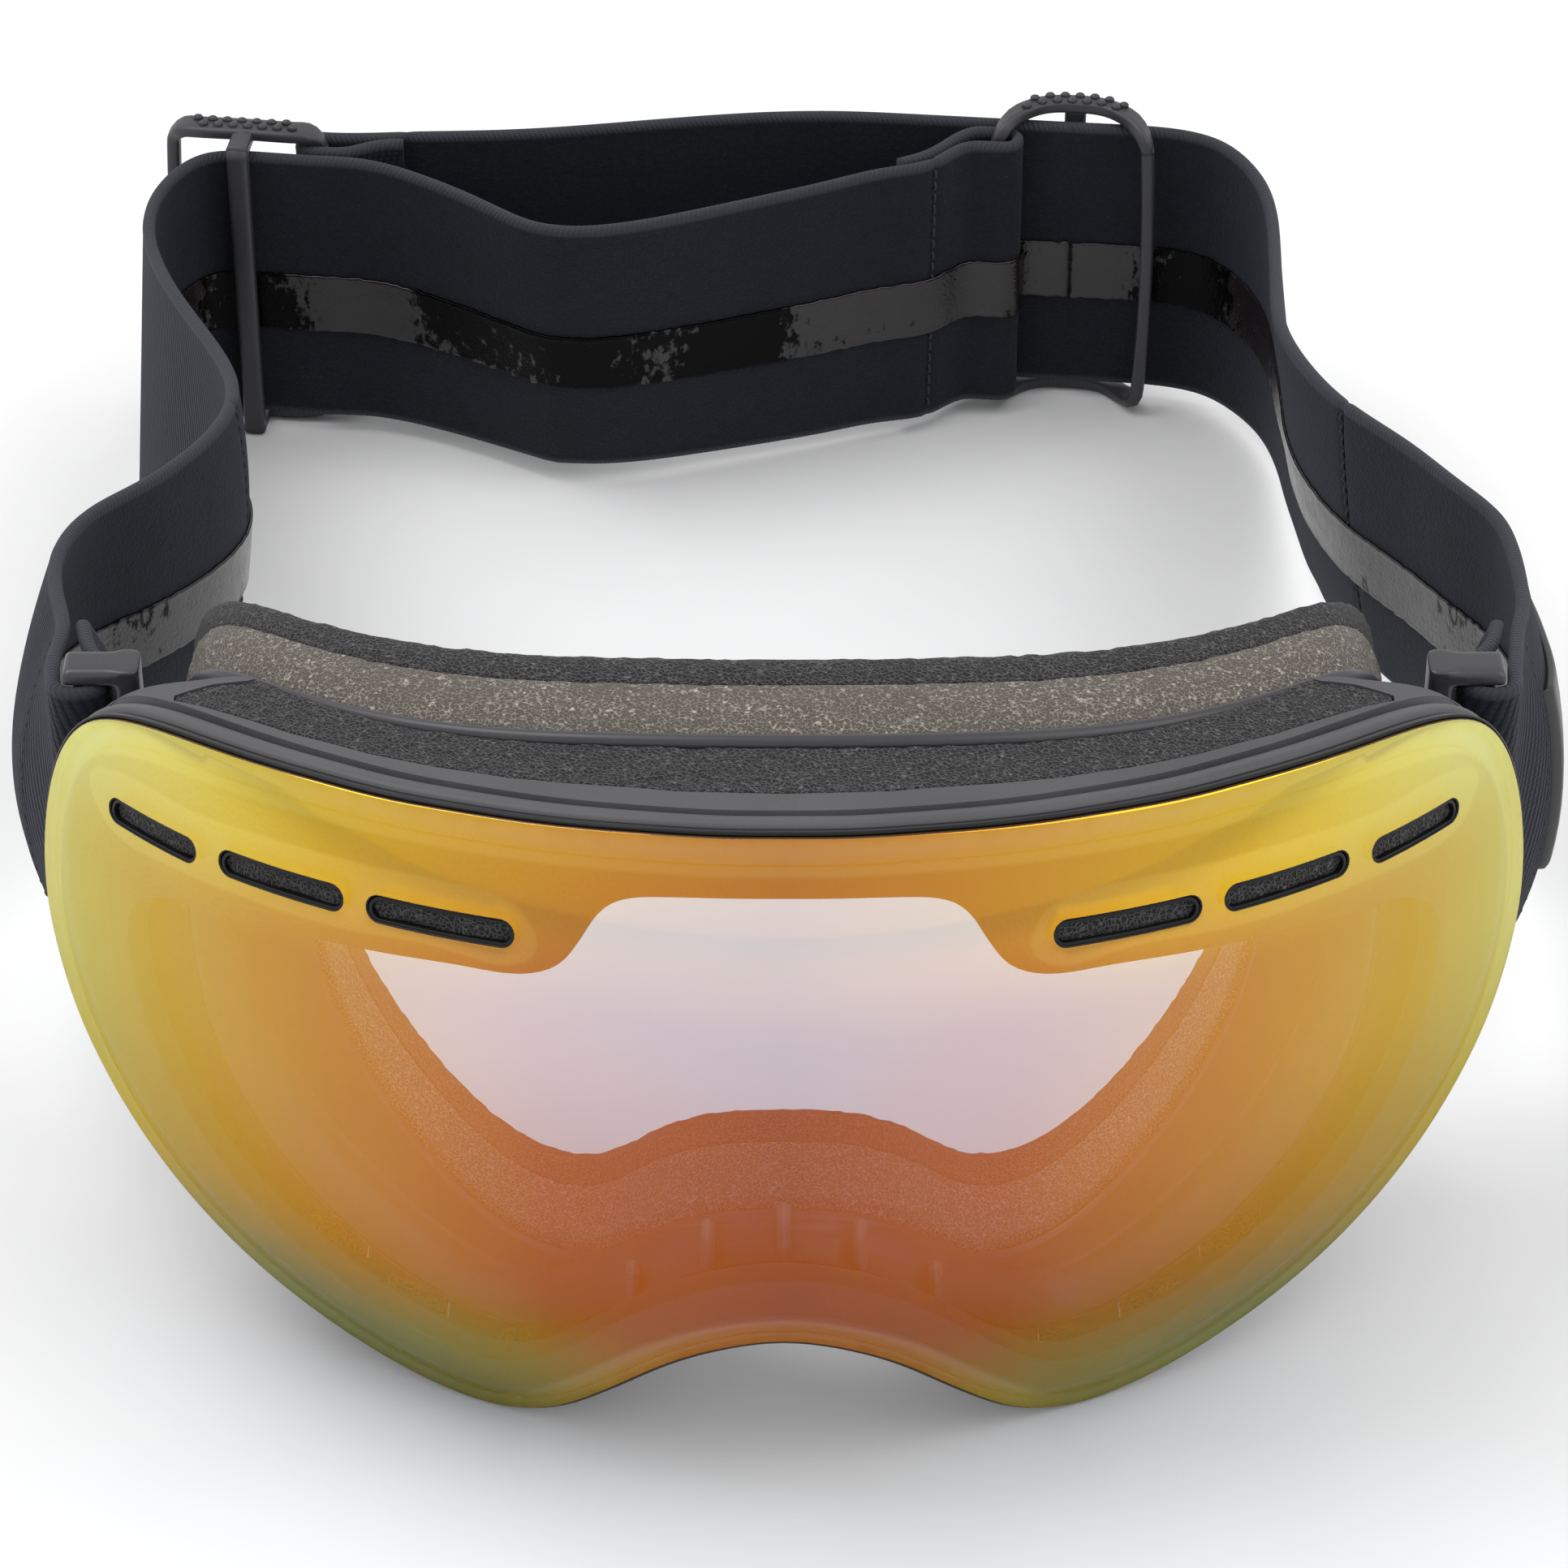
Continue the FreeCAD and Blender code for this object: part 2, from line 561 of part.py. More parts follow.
def side_band(lower, upper):
    # slab between two distances below the top line of the webbing, swept along X
    return ribbon([Vector(-130, y, z - upper) for y, z in TOP_LINE],
                  [Vector(-130, y, z - lower) for y, z in TOP_LINE], Vector(260, 0, 0))


def behind(y):
    return Part.makeBox(400, 400, 200, Vector(-200, y + SEAM_GAP, -20))


def ahead(y):
    return Part.makeBox(400, 400, 200, Vector(-200, y - SEAM_GAP - 400, -20))


def strap_tab(path, side):
    # webbing from the seam forward, round the bar and sewn back to itself
    radius = BAR_R + 0.3 + STRAP_FACE
    bar_x = side * BAR_X
    web = strip(path, -STRAP_FACE, STRAP_FACE).common(ahead(path[-2][1]))
    turn = [(side * 88.5, BAR_Y + 3.0)]
    for i in range(13):
        angle = math.radians(180.0 * i / 12)
        turn.append((bar_x + side * radius * math.cos(angle), BAR_Y - radius * math.sin(angle)))
    # return path: outward x from the bar, y behind it
    for x, y in ((0.2 - radius, 3.0), (1.4 - radius, 6.0), (0.8, 9.0), (3.4, 12.4), (5.6, 15.6)):
        turn.append((bar_x + side * x, BAR_Y + y))
    web = web.fuse(strip(turn, -STRAP_FACE, STRAP_FACE, spans=60))
    return web.common(side_band(STRAP_H + 0.45, 0.0))


def main_strap(path, fold, seam_y):
    web = strip(path, -STRAP_FACE, STRAP_FACE).common(behind(seam_y))
    web = web.fuse(strip(fold, -STRAP_FACE, STRAP_FACE, spans=70))
    return web.common(side_band(STRAP_H, 0.0))


def grip(path, side, keep):
    # silicone strip on one face of the webbing
    near = STRAP_FACE + 0.07
    low, high = sorted((side * near, side * (near + GRIP_T)))
    band = side_band(GRIP_DROP, GRIP_DROP - GRIP_H)
    return strip(path, low, high).common(band).common(keep)


def strap_badge(path):
    # blank badge on the outside of the right tab
    badge = strip(path, -STRAP_FACE - 0.1, -STRAP_FACE - 0.95).common(side_band(37.0, 9.0))
    return badge.common(behind(80.0)).common(ahead(110.0))


# ------------------------------------------------------------------ sliders
def slider_place(x, y, slope, side):
    # local axes along and across the webbing; side = +1 puts the end bars at the back
    length = math.hypot(1.0, slope)
    along_x, along_y = 1.0 / length, slope / length

    def place(along, across, z):
        return Vector(x + along_x * along - along_y * side * across,
                      y + along_y * along + along_x * side * across, z)
    return place


def rail_outline(bulge):
    # both sides of a rail that runs from end bar to end bar, bulging across the webbing
    line = []
    for i in range(31):
        along = -SLIDER_W / 2 + SLIDER_W * i / 30
        line.append((along, END_BAR_MID + bulge * (1.0 - abs(along / (SLIDER_W / 2)) ** 4)))
    upper, lower = [], []
    for i, (along, across) in enumerate(line):
        along0, across0 = line[max(i - 1, 0)]
        along1, across1 = line[min(i + 1, 30)]
        scale = RAIL_HALF_T / math.hypot(along1 - along0, across1 - across0)
        shift0, shift1 = -(across1 - across0) * scale, (along1 - along0) * scale
        upper.append((along + shift0, across + shift1))
        lower.append((along - shift0, across - shift1))
    return upper + lower[::-1]


def slider(place, folded):
    # folded rails dip to the centre bar, the others carry it on cross blocks
    def block(along0, along1, across0, across1, z, height):
        corners = ((along0, across0), (along1, across0), (along1, across1), (along0, across1))
        return prism([place(*corner, z) for corner in corners], height)

    end, width = SLIDER_W / 2, CENTRE_BAR_HALF_W
    body = block(-end, END_BAR_W - end, END_BAR_FRONT, END_BAR_BACK, 0.0, SLIDER_H)
    body = body.fuse(block(end - END_BAR_W, end, END_BAR_FRONT, END_BAR_BACK, 0.0, SLIDER_H))
    body = body.fuse(block(-width, width, CENTRE_BAR_FRONT, CENTRE_BAR_BACK, 0.0, SLIDER_H))
    outline = rail_outline(CENTRE_BAR_MID - END_BAR_MID if folded else 1.0)
    for z in (0.0, SLIDER_H - RAIL_H):
        body = body.fuse(prism([place(*point, z) for point in outline], RAIL_H))
        if not folded:
            body = body.fuse(block(-width, width, CENTRE_BAR_FRONT, 5.4, z, RAIL_H))
    return body.removeSplitter()


# webbing end folded round an end bar: (distance along, across from the bar's middle)
FOLD = [(14.5, 2.3), (12.5, 2.15), (11.0, 2.12), (9.4, 1.95), (8.35, 1.15), (8.1, 0.0),
        (8.35, -1.15), (9.4, -1.95), (11.0, -2.12), (12.5, -2.1), (14.5, -1.9)]


def end_fold(place, side, tail):
    fold = [(along, END_BAR_MID + across) for along, across in FOLD] + tail
    points = [place(side * along, across, 0) for along, across in fold]
    return [(point.x, point.y) for point in points]


# --------------------------------------------------------------- stitching
def stitches(path, fraction, side, spans):
    # vertical row of thread bars on one face of the webbing, within the (low, high) spans
    curve = spline([Vector(x, y, 0) for x, y in path])
    at = curve.FirstParameter + (curve.LastParameter - curve.FirstParameter) * fraction
    tangent = curve.tangent(at)[0]
    root = Vector(-tangent.y * side, tangent.x * side, 0)
    rise = root * STITCH_T
    root = curve.value(at) + root * (STRAP_FACE + 0.04)
    half = tangent * (STITCH_W / 2)
    corners = [root - half, root + half, root + half + rise, root - half + rise]
    solids = []
    for z, high in spans:
        while z + STITCH_L <= high:
            solids.append(prism([Vector(point.x, point.y, z) for point in corners], STITCH_L))
            z += STITCH_STEP
    return Part.makeCompound(solids)


# ------------------------------------------------------------- build: goggles
save("outer_lens", outer_lens())
save("lens_gasket", lens_gasket())
save("inner_lens", inner_lens())
save("lens_carrier", lens_carrier())
liner, liner_foam = right_vent_liner(), right_liner_foam()
save("lens_vent_liner_right", liner.removeSplitter())
save("lens_vent_foam_right", liner_foam)
save("lens_vent_liner_left", mirrored(liner).removeSplitter())
save("lens_vent_foam_left", mirrored(liner_foam))

frame = outer_frame()
save("outer_frame", frame)
save("face_frame", face_frame())
zone = vent_foam_zone()
save("top_vent_foam", zone.common(brow_window(0.15, WINDOW_Z)))
foams = right_lower_foams(zone)
save("lower_vent_foam_right", Part.makeCompound(foams))
save("lower_vent_foam_left", Part.makeCompound([mirrored(foam) for foam in foams]))
save_face_foam()

outrigger = right_outrigger(frame)
save("right_outrigger", outrigger)
save("left_outrigger", mirrored(outrigger))

# --------------------------------------------------------------- build: strap
left_place = slider_place(*LEFT_SLIDER, 1)
right_place = slider_place(*RIGHT_SLIDER, -1)
save("left_slider", slider(left_place, folded=False))
save("right_slider", slider(right_place, folded=True))

# the left strap ends on the right slider, the right strap on the left slider
left_fold = end_fold(right_place, -1, [(17.5, 3.9), (21.0, 6.3), (24.5, 8.8)])
right_fold = end_fold(left_place, 1, [(17.5, 3.2), (20.5, 4.2), (23.0, 5.6)])
# boxes that keep the grips off the folded ends
left_stop = Part.makeBox(60, 60, 80, Vector(28.0, 215, -10))
right_stop = Part.makeBox(200, 100, 200, Vector(-202, 200, -20))
# webbing curves overlap the seam by one point
paths = {}
for name, side, tab, strap, fold, stop in (
        ("left", -1, LEFT_TAB, LEFT_STRAP, left_fold, left_stop),
        ("right", 1, RIGHT_TAB, RIGHT_STRAP, right_fold, right_stop)):
    seam_y = strap[0][1]
    tab_path = tab + strap[1:2]
    paths[name] = tab[-2:-1] + strap + fold[:1]
    save(name + "_strap_tab", strap_tab(tab_path, side))
    save(name + "_strap", main_strap(paths[name], fold, seam_y))
    save(name + "_tab_grip", grip(tab_path, side, ahead(seam_y).common(behind(92.0))))
    save(name + "_strap_grip", grip(paths[name], side, behind(seam_y).cut(stop)))
    save(name + "_seam_stitching", stitches(tab, 0.965, side, [(17.5, 27.6), (41.4, 58.6)]))
    save(name + "_loop_stitching", stitches(tab, 0.158, -side, [(29.5, 69.0)]))
save("strap_badge", strap_badge(RIGHT_TAB + RIGHT_STRAP[1:2]))
save("left_end_stitching", stitches(paths["left"], 0.965, -1, [(4.0, 16.4), (30.0, 46.6)]))
save("right_end_stitching", stitches(paths["right"], 0.975, -1, [(4.0, 46.6)]))
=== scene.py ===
import bpy, math
import numpy as np
from mathutils import Vector, Matrix, noise
from mathutils.geometry import delaunay_2d_cdt


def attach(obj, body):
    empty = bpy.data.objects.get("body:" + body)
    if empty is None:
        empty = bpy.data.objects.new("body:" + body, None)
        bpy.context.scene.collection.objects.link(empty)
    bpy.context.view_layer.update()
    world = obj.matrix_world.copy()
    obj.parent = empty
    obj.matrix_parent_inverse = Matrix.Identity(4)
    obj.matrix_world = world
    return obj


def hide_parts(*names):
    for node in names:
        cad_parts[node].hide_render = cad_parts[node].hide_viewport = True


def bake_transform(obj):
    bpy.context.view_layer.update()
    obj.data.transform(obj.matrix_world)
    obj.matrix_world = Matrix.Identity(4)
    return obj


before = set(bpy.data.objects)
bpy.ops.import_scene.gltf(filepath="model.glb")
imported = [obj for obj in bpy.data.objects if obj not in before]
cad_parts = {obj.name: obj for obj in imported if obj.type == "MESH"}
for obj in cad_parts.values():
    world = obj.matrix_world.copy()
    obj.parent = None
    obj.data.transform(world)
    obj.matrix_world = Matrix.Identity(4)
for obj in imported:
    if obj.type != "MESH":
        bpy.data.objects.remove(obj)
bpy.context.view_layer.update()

# ---------------------------------------------------------------- dimensions (mm, lens apex at y = 0)
R_LENS, Z_SPH, Y_OFF = 105.0, 50.0, -124.35
BAR_X, BAR_Y, BAR_R = 84.6, 66.0, 1.8
FLANGE_Y0, FLANGE_A, FLANGE_B = 29.9, 0.0021, 8.48e-7
LENS_HALF = [(0.0, 25.5), (7.2, 23.8), (13.5, 19.9), (18.7, 14.6), (23.5, 8.9), (28.6, 3.5),
             (35.2, 0.3), (42.6, 1.2), (49.4, 4.2), (55.8, 7.9), (62.0, 12.0), (67.8, 16.7),
             (73.0, 22.0), (77.6, 27.9), (81.5, 34.3), (84.6, 41.0), (86.7, 48.2), (87.9, 55.5),
             (87.9, 63.0), (86.9, 70.4), (84.7, 77.4), (80.4, 83.5), (74.0, 87.2), (66.8, 89.2),
             (59.5, 90.5), (52.1, 91.5), (44.7, 92.2), (37.3, 92.9), (29.8, 93.4), (22.4, 93.8),
             (15.0, 94.1), (7.5, 94.2), (0.0, 94.3)]
FLANGE_HALF = [(0.0, 27.0), (7.0, 25.2), (13.0, 20.8), (18.5, 14.8), (24.0, 9.2), (30.0, 5.6),
               (37.0, 5.0), (44.0, 7.6), (51.0, 12.4), (57.5, 18.4), (63.0, 25.2), (67.5, 33.2),
               (70.6, 42.0), (72.4, 51.5), (73.0, 61.0), (72.4, 70.5), (70.2, 78.6), (65.6, 84.6),
               (58.5, 88.0), (50.0, 90.0), (40.0, 91.5), (30.0, 92.5), (20.0, 93.2), (10.0, 93.5), (0.0, 93.6)]
OPEN_HALF = [(0.0, 33.6), (6.0, 32.6), (12.0, 29.2), (17.5, 23.4), (22.5, 17.8), (28.0, 15.0),
             (34.0, 15.8), (40.0, 20.0), (45.5, 26.4), (50.0, 34.0), (53.4, 43.5), (55.0, 53.0),
             (54.6, 62.0), (51.8, 69.6), (46.5, 75.2), (38.5, 78.4), (28.0, 79.8), (14.0, 80.4), (0.0, 80.6)]
SPACER_IN_HALF = [(0.0, 35.4), (8.0, 33.8), (15.6, 29.4), (22.0, 23.0), (27.4, 16.6), (32.4, 11.8),
                  (38.0, 10.2), (44.4, 12.2), (51.4, 16.2), (58.4, 21.2), (64.6, 27.0), (70.0, 34.0),
                  (74.0, 41.8), (76.6, 49.6), (77.8, 57.0), (77.2, 63.4), (73.6, 67.6), (66.4, 70.2),
                  (57.0, 72.4), (46.0, 74.2), (36.0, 75.4), (29.6, 76.0), (25.4, 78.0), (22.6, 82.0),
                  (19.6, 85.6), (14.0, 87.0), (7.0, 87.3), (0.0, 87.4)]
SLOTS = [((31.6, 80.9), (45.4, 80.0)), ((51.0, 79.5), (63.1, 78.1)), ((68.5, 77.0), (77.2, 75.9))]
PLATE = [(27.6, 79.6), (29.2, 84.0), (34.0, 85.3), (46.0, 84.6), (58.0, 83.3), (69.0, 81.6), (77.6, 80.2),
         (80.8, 77.6), (79.2, 73.9), (74.0, 73.2), (63.0, 74.9), (50.0, 76.3), (36.0, 77.5), (30.0, 77.6)]
TOP_LINE = [(40.0, 78.8), (66.0, 75.4), (90.0, 71.0), (120.0, 65.4), (150.0, 59.6), (175.0, 54.6),
            (198.0, 50.3), (214.0, 48.3), (226.0, 47.6), (236.0, 47.5), (250.0, 47.5), (275.0, 47.5)]
WIN_FRONT = [(0.0, 18.6), (12.0, 19.3), (24.0, 21.4), (31.0, 23.0), (39.0, 25.8), (47.0, 29.4), (56.0, 34.7),
             (64.0, 40.6), (70.6, 45.6)]


# ---------------------------------------------------------------- curves
def spline(pts, closed=False):
    # C2 cubic through the points, chord-length parameter
    p = np.asarray(pts, float)
    if closed:
        p = np.vstack([p, p[:1]])
    t = np.concatenate([[0], np.cumsum(np.linalg.norm(np.diff(p, axis=0), axis=1))])
    n = len(p)
    h = np.diff(t)
    M = np.zeros((n, n)); rhs = np.zeros((n, p.shape[1]))
    for i in range(1, n - 1):
        M[i, i - 1], M[i, i], M[i, i + 1] = h[i - 1], 2 * (h[i - 1] + h[i]), h[i]
        rhs[i] = 6 * ((p[i + 1] - p[i]) / h[i] - (p[i] - p[i - 1]) / h[i - 1])
    if closed:
        M[0, 0], M[0, 1], M[0, n - 2] = 2 * (h[-1] + h[0]), h[0], h[-1]
        rhs[0] = 6 * ((p[1] - p[0]) / h[0] - (p[0] - p[n - 2]) / h[-1])
        M[n - 1, n - 1], M[n - 1, 0] = 1, -1
    else:
        M[0, 0] = M[n - 1, n - 1] = 1
    m = np.linalg.solve(M, rhs)

    def ev(u):
        u = np.clip(np.asarray(u, float), 0, t[-1])
        k = np.clip(np.searchsorted(t, u, side="right") - 1, 0, n - 2)
        a, b = (t[k + 1] - u)[..., None], (u - t[k])[..., None]
        hk = h[k][..., None]
        return (m[k] * a ** 3 + m[k + 1] * b ** 3) / (6 * hk) + (p[k] / hk - m[k] * hk / 6) * a + \
            (p[k + 1] / hk - m[k + 1] * hk / 6) * b
    return ev, t[-1]


def even(pts, n, closed=False, sub=2400):
    ev, L = spline(pts, closed)
    d = ev(np.linspace(0, L, sub))
    s = np.concatenate([[0], np.cumsum(np.linalg.norm(np.diff(d, axis=0), axis=1))])
    u = np.linspace(0, s[-1], n + 1 if closed else n)
    if closed:
        u = u[:-1]
    return np.stack([np.interp(u, s, d[:, k]) for k in range(d.shape[1])], 1)


def half_loop(half, NH):
    pts = [(-half[2][0], half[2][1]), (-half[1][0], half[1][1])] + list(half) + \
          [(-half[-2][0], half[-2][1]), (-half[-3][0], half[-3][1])]
    ev, L = spline(pts)
    d = ev(np.linspace(0, L, 4001))
    i0 = int(np.argmin(np.hypot(*(d - half[0]).T)))
    i1 = int(np.argmin(np.hypot(*(d - half[-1]).T)))
    d = d[i0:i1 + 1]
    d[0], d[-1] = half[0], half[-1]
    s = np.concatenate([[0], np.cumsum(np.linalg.norm(np.diff(d, axis=0), axis=1))])
    k1 = int(np.argmin(d[:, 1]))
    k2 = int(np.argmax(d[:, 0] * 1.2 + d[:, 1]))
    marks = [(0, 0), (int(NH * 0.2), k1), (int(NH * 0.66), k2), (NH, len(d) - 1)]
    u = []
    for (n0, a0), (n1, a1) in zip(marks, marks[1:]):
        u += list(s[a0] + (s[a1] - s[a0]) * np.arange(n1 - n0) / float(n1 - n0))
    u = np.array(u + [s[-1]])
    # even out the change of spacing at the marks
    for _ in range(12):
        u[1:-1] = 0.25 * u[:-2] + 0.5 * u[1:-1] + 0.25 * u[2:]
    return np.stack([np.interp(u, s, d[:, 0]), np.interp(u, s, d[:, 1])], 1)


def loop(half, NH=210):
    h = half_loop(half, NH)
    m = h[::-1][1:-1].copy()
    m[:, 0] *= -1
    return np.vstack([h, m])


def normals2(p):
    t = np.roll(p, -1, 0) - np.roll(p, 1, 0)
    t /= np.linalg.norm(t, axis=1)[:, None]
    return np.stack([t[:, 1], -t[:, 0]], 1)


def offset(p, d):
    return p + normals2(p) * d


def to_map(p):
    p = np.asarray(p, float)
    r = np.hypot(p[:, 0], p[:, 1] - Z_SPH)
    t = np.arcsin(np.minimum(r / R_LENS, 1)) * R_LENS
    k = np.where(r > 1e-9, t / np.maximum(r, 1e-9), 1)
    return np.stack([p[:, 0] * k, (p[:, 1] - Z_SPH) * k], 1)


def on_ball(m, rad):
    m = np.asarray(m, float)
    t = np.hypot(m[:, 0], m[:, 1])
    k = np.where(t > 1e-9, np.sin(t / R_LENS) / np.maximum(t, 1e-9), 1 / R_LENS) * rad
    return np.stack([m[:, 0] * k, R_LENS - rad * np.cos(t / R_LENS), Z_SPH + m[:, 1] * k], 1)


def ball_y(x, z, r):
    return R_LENS - np.sqrt(np.maximum(r * r - x * x - (z - Z_SPH) ** 2, 0))


def sstep(a, b, t):
    t = np.clip((t - a) / (b - a), 0, 1)
    return t * t * (3 - 2 * t)


def flange_y(x, z):
    a = np.minimum(np.abs(x), 76.0)
    y = FLANGE_Y0 + FLANGE_A * a ** 2 + FLANGE_B * a ** 4 + 0.9 * np.maximum(0.0, np.abs(x) - 76.0)
    low = sstep(64.0, 26.0, z)
    y = y + 5.0 * np.exp(-((a - 44.0) / 22.0) ** 2) * low
    return y - 12.0 * np.exp(-(a / 20.0) ** 2) * low


def rear_y(x, z):
    f = flange_y(x, z) - 2.5
    a = np.abs(x)
    t = 47.0 + 0.16 * (a - 60.0) + 0.0125 * np.maximum(0.0, a - 64.0) ** 2
    k = 0.5 + 0.5 * np.tanh((a - 61.0) / 1.5)
    return f * (1 - k) + np.minimum(t, 60.0) * k


def at(p, fn):
    return np.stack([p[:, 0], fn(p[:, 0], p[:, 1]), p[:, 1]], 1)


def fl(d):
    return lambda x, z: flange_y(x, z) + d


# ---------------------------------------------------------------- mesh helpers
def W(a):
    return (np.asarray(a, float) + np.array([0, Y_OFF, 0])) * 0.001


def new_obj(name, verts, faces, mats, uvs=None, attrs=None, midx=None, smooth=True):
    me = bpy.data.meshes.new(name)
    me.from_pydata([tuple(v) for v in W(verts)], [], [tuple(int(i) for i in f) for f in faces])
    me.validate()
    for m in (mats if isinstance(mats, (list, tuple)) else [mats]):
        me.materials.append(m)
    if midx is not None and len(midx) == len(me.polygons):
        me.polygons.foreach_set("material_index", np.asarray(midx, np.int32))
    if uvs is not None:
        l = me.uv_layers.new(name="UVMap")
        vi = np.zeros(len(me.loops), np.int32)
        me.loops.foreach_get("vertex_index", vi)
        l.data.foreach_set("uv", np.asarray(uvs, np.float32)[vi].ravel())
    for k, a in (attrs or {}).items():
        at_ = me.attributes.new(k, "FLOAT", "POINT")
        at_.data.foreach_set("value", np.asarray(a, np.float32))
    if smooth:
        me.polygons.foreach_set("use_smooth", [True] * len(me.polygons))
    me.update()
    o = bpy.data.objects.new(name, me)
    bpy.context.scene.collection.objects.link(o)
    return o


def grid_faces(n, m, cu, cv, base=0):
    # n rows of m points; cu closes the rows on each other, cv closes each row
    i = np.arange(n if cu else n - 1)[:, None]
    j = np.arange(m if cv else m - 1)[None, :]
    i1, j1 = (i + 1) % n, (j + 1) % m
    f = np.stack([i * m + j + 0 * j, i1 * m + j, i1 * m + j1, i * m + j1 + 0 * i], -1).reshape(-1, 4)
    return f + base


def fix_normals(o):
    import bmesh
    bm = bmesh.new(); bm.from_mesh(o.data)
    bmesh.ops.recalc_face_normals(bm, faces=bm.faces)
    bm.to_mesh(o.data); bm.free()
    return o


def ring_obj(name, loops, mats, closed_profile=True, attrs=None):
    # loops: list of (n,3); successive closed curves
    m = len(loops[0])
    V_ = np.vstack(loops)
    f = grid_faces(len(loops), m, closed_profile, True)
    u = []
    for k, l in enumerate(loops):
        s = np.concatenate([[0], np.cumsum(np.linalg.norm(np.diff(l, axis=0), axis=1))])
        u.append(np.stack([s, np.full(m, k * 1.0)], 1))
    o = new_obj(name, V_, f, mats, uvs=np.vstack(u), attrs=attrs)
    return fix_normals(o)


def dress(o, body, *nodes, slot=None):
    if body:
        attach(o, body)
    if nodes:
        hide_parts(*nodes)
    return o


# ---------------------------------------------------------------- materials
def srgb(r, g, b):
    def f(c):
        c /= 255.0
        return c / 12.92 if c <= 0.04045 else ((c + 0.055) / 1.055) ** 2.4
    return (f(r), f(g), f(b), 1)


class Mat:
    def __init__(s, name):
        s.m = bpy.data.materials.new(name)
        s.m.use_nodes = True
        s.t = s.m.node_tree
        s.t.nodes.clear()
        s.out = s.t.nodes.new("ShaderNodeOutputMaterial")
        s.tc = s.t.nodes.new("ShaderNodeTexCoord")

    def n(s, kind, **kw):
        nd = s.t.nodes.new("ShaderNode" + kind)
        ins = kw.pop("ins", {})
        for k, v in kw.items():
            setattr(nd, k, v)
        for k, v in ins.items():
            if isinstance(v, bpy.types.NodeSocket):
                s.t.links.new(v, nd.inputs[k])
            else:
                nd.inputs[k].default_value = v
        return nd

    def link(s, a, b):
        s.t.links.new(a, b)

    def math(s, op, a, b=0.0, c=None, clamp=False):
        ins = {0: a, 1: b}
        if c is not None:
            ins[2] = c
        nd = s.n("Math", operation=op, ins=ins)
        nd.use_clamp = clamp
        return nd.outputs[0]

    def ramp(s, fac, stops, interp="LINEAR"):
        r = s.n("ValToRGB", ins={0: fac})
        r.color_ramp.interpolation = interp
        e = r.color_ramp.elements
        while len(e) < len(stops):
            e.new(0.5)
        for el, (p, c) in zip(e, stops):
            el.position = p
            el.color = c if len(c) == 4 else (*c, 1)
        return r.outputs[0]

    def mapr(s, v, a, b, c=0.0, d=1.0, kind="LINEAR"):
        nd = s.n("MapRange", ins={"Value": v, "From Min": a, "From Max": b, "To Min": c, "To Max": d})
        nd.interpolation_type = kind
        return nd.outputs[0]

    def mix(s, f, a, b, blend="MIX"):
        nd = s.t.nodes.new("ShaderNodeMix")
        nd.data_type = "RGBA"
        nd.blend_type = blend
        for k, v in ((0, f), (6, a), (7, b)):
            if isinstance(v, bpy.types.NodeSocket):
                s.t.links.new(v, nd.inputs[k])
            else:
                nd.inputs[k].default_value = v
        return nd.outputs[2]

    def bsdf(s, color, rough, normal=None, **kw):
        ins = {"Base Color": color, "Roughness": rough}
        if normal is not None:
            ins["Normal"] = normal
        ins.update(kw)
        b = s.n("BsdfPrincipled", ins=ins)
        s.link(b.outputs[0], s.out.inputs[0])
        return b

    def bump(s, h, strength, dist, normal=None):
        ins = {"Height": h, "Strength": strength, "Distance": dist}
        if normal is not None:
            ins["Normal"] = normal
        return s.n("Bump", ins=ins).outputs[0]


def plastic(name, col, rough, grain=2600.0, amp=0.35, dist=0.00004, edge=0.0004, spec=0.5, coat=0.0):
    m = Mat(name)
    ob = m.tc.outputs["Object"]
    nz = m.n("TexNoise", ins={"Vector": ob, "Scale": grain, "Detail": 1.0}).outputs[0]
    nz2 = m.n("TexNoise", ins={"Vector": ob, "Scale": 60.0, "Detail": 2.0}).outputs[0]
    c = m.mix(m.mapr(nz2, 0.3, 0.7), (*[v * 0.86 for v in col[:3]], 1), (*[v * 1.12 for v in col[:3]], 1))
    c = m.mix(m.mapr(nz, 0.62, 0.75, 0.0, 0.25), c, (*[min(1, v * 1.8) for v in col[:3]], 1))
    nb = m.bump(nz, amp, dist)
    r = m.mapr(nz2, 0.3, 0.7, rough - 0.04, rough + 0.06)
    m.bsdf(c, r, nb, **{"Specular IOR Level": spec, "Coat Weight": coat, "Coat Roughness": 0.25})
    return m.m


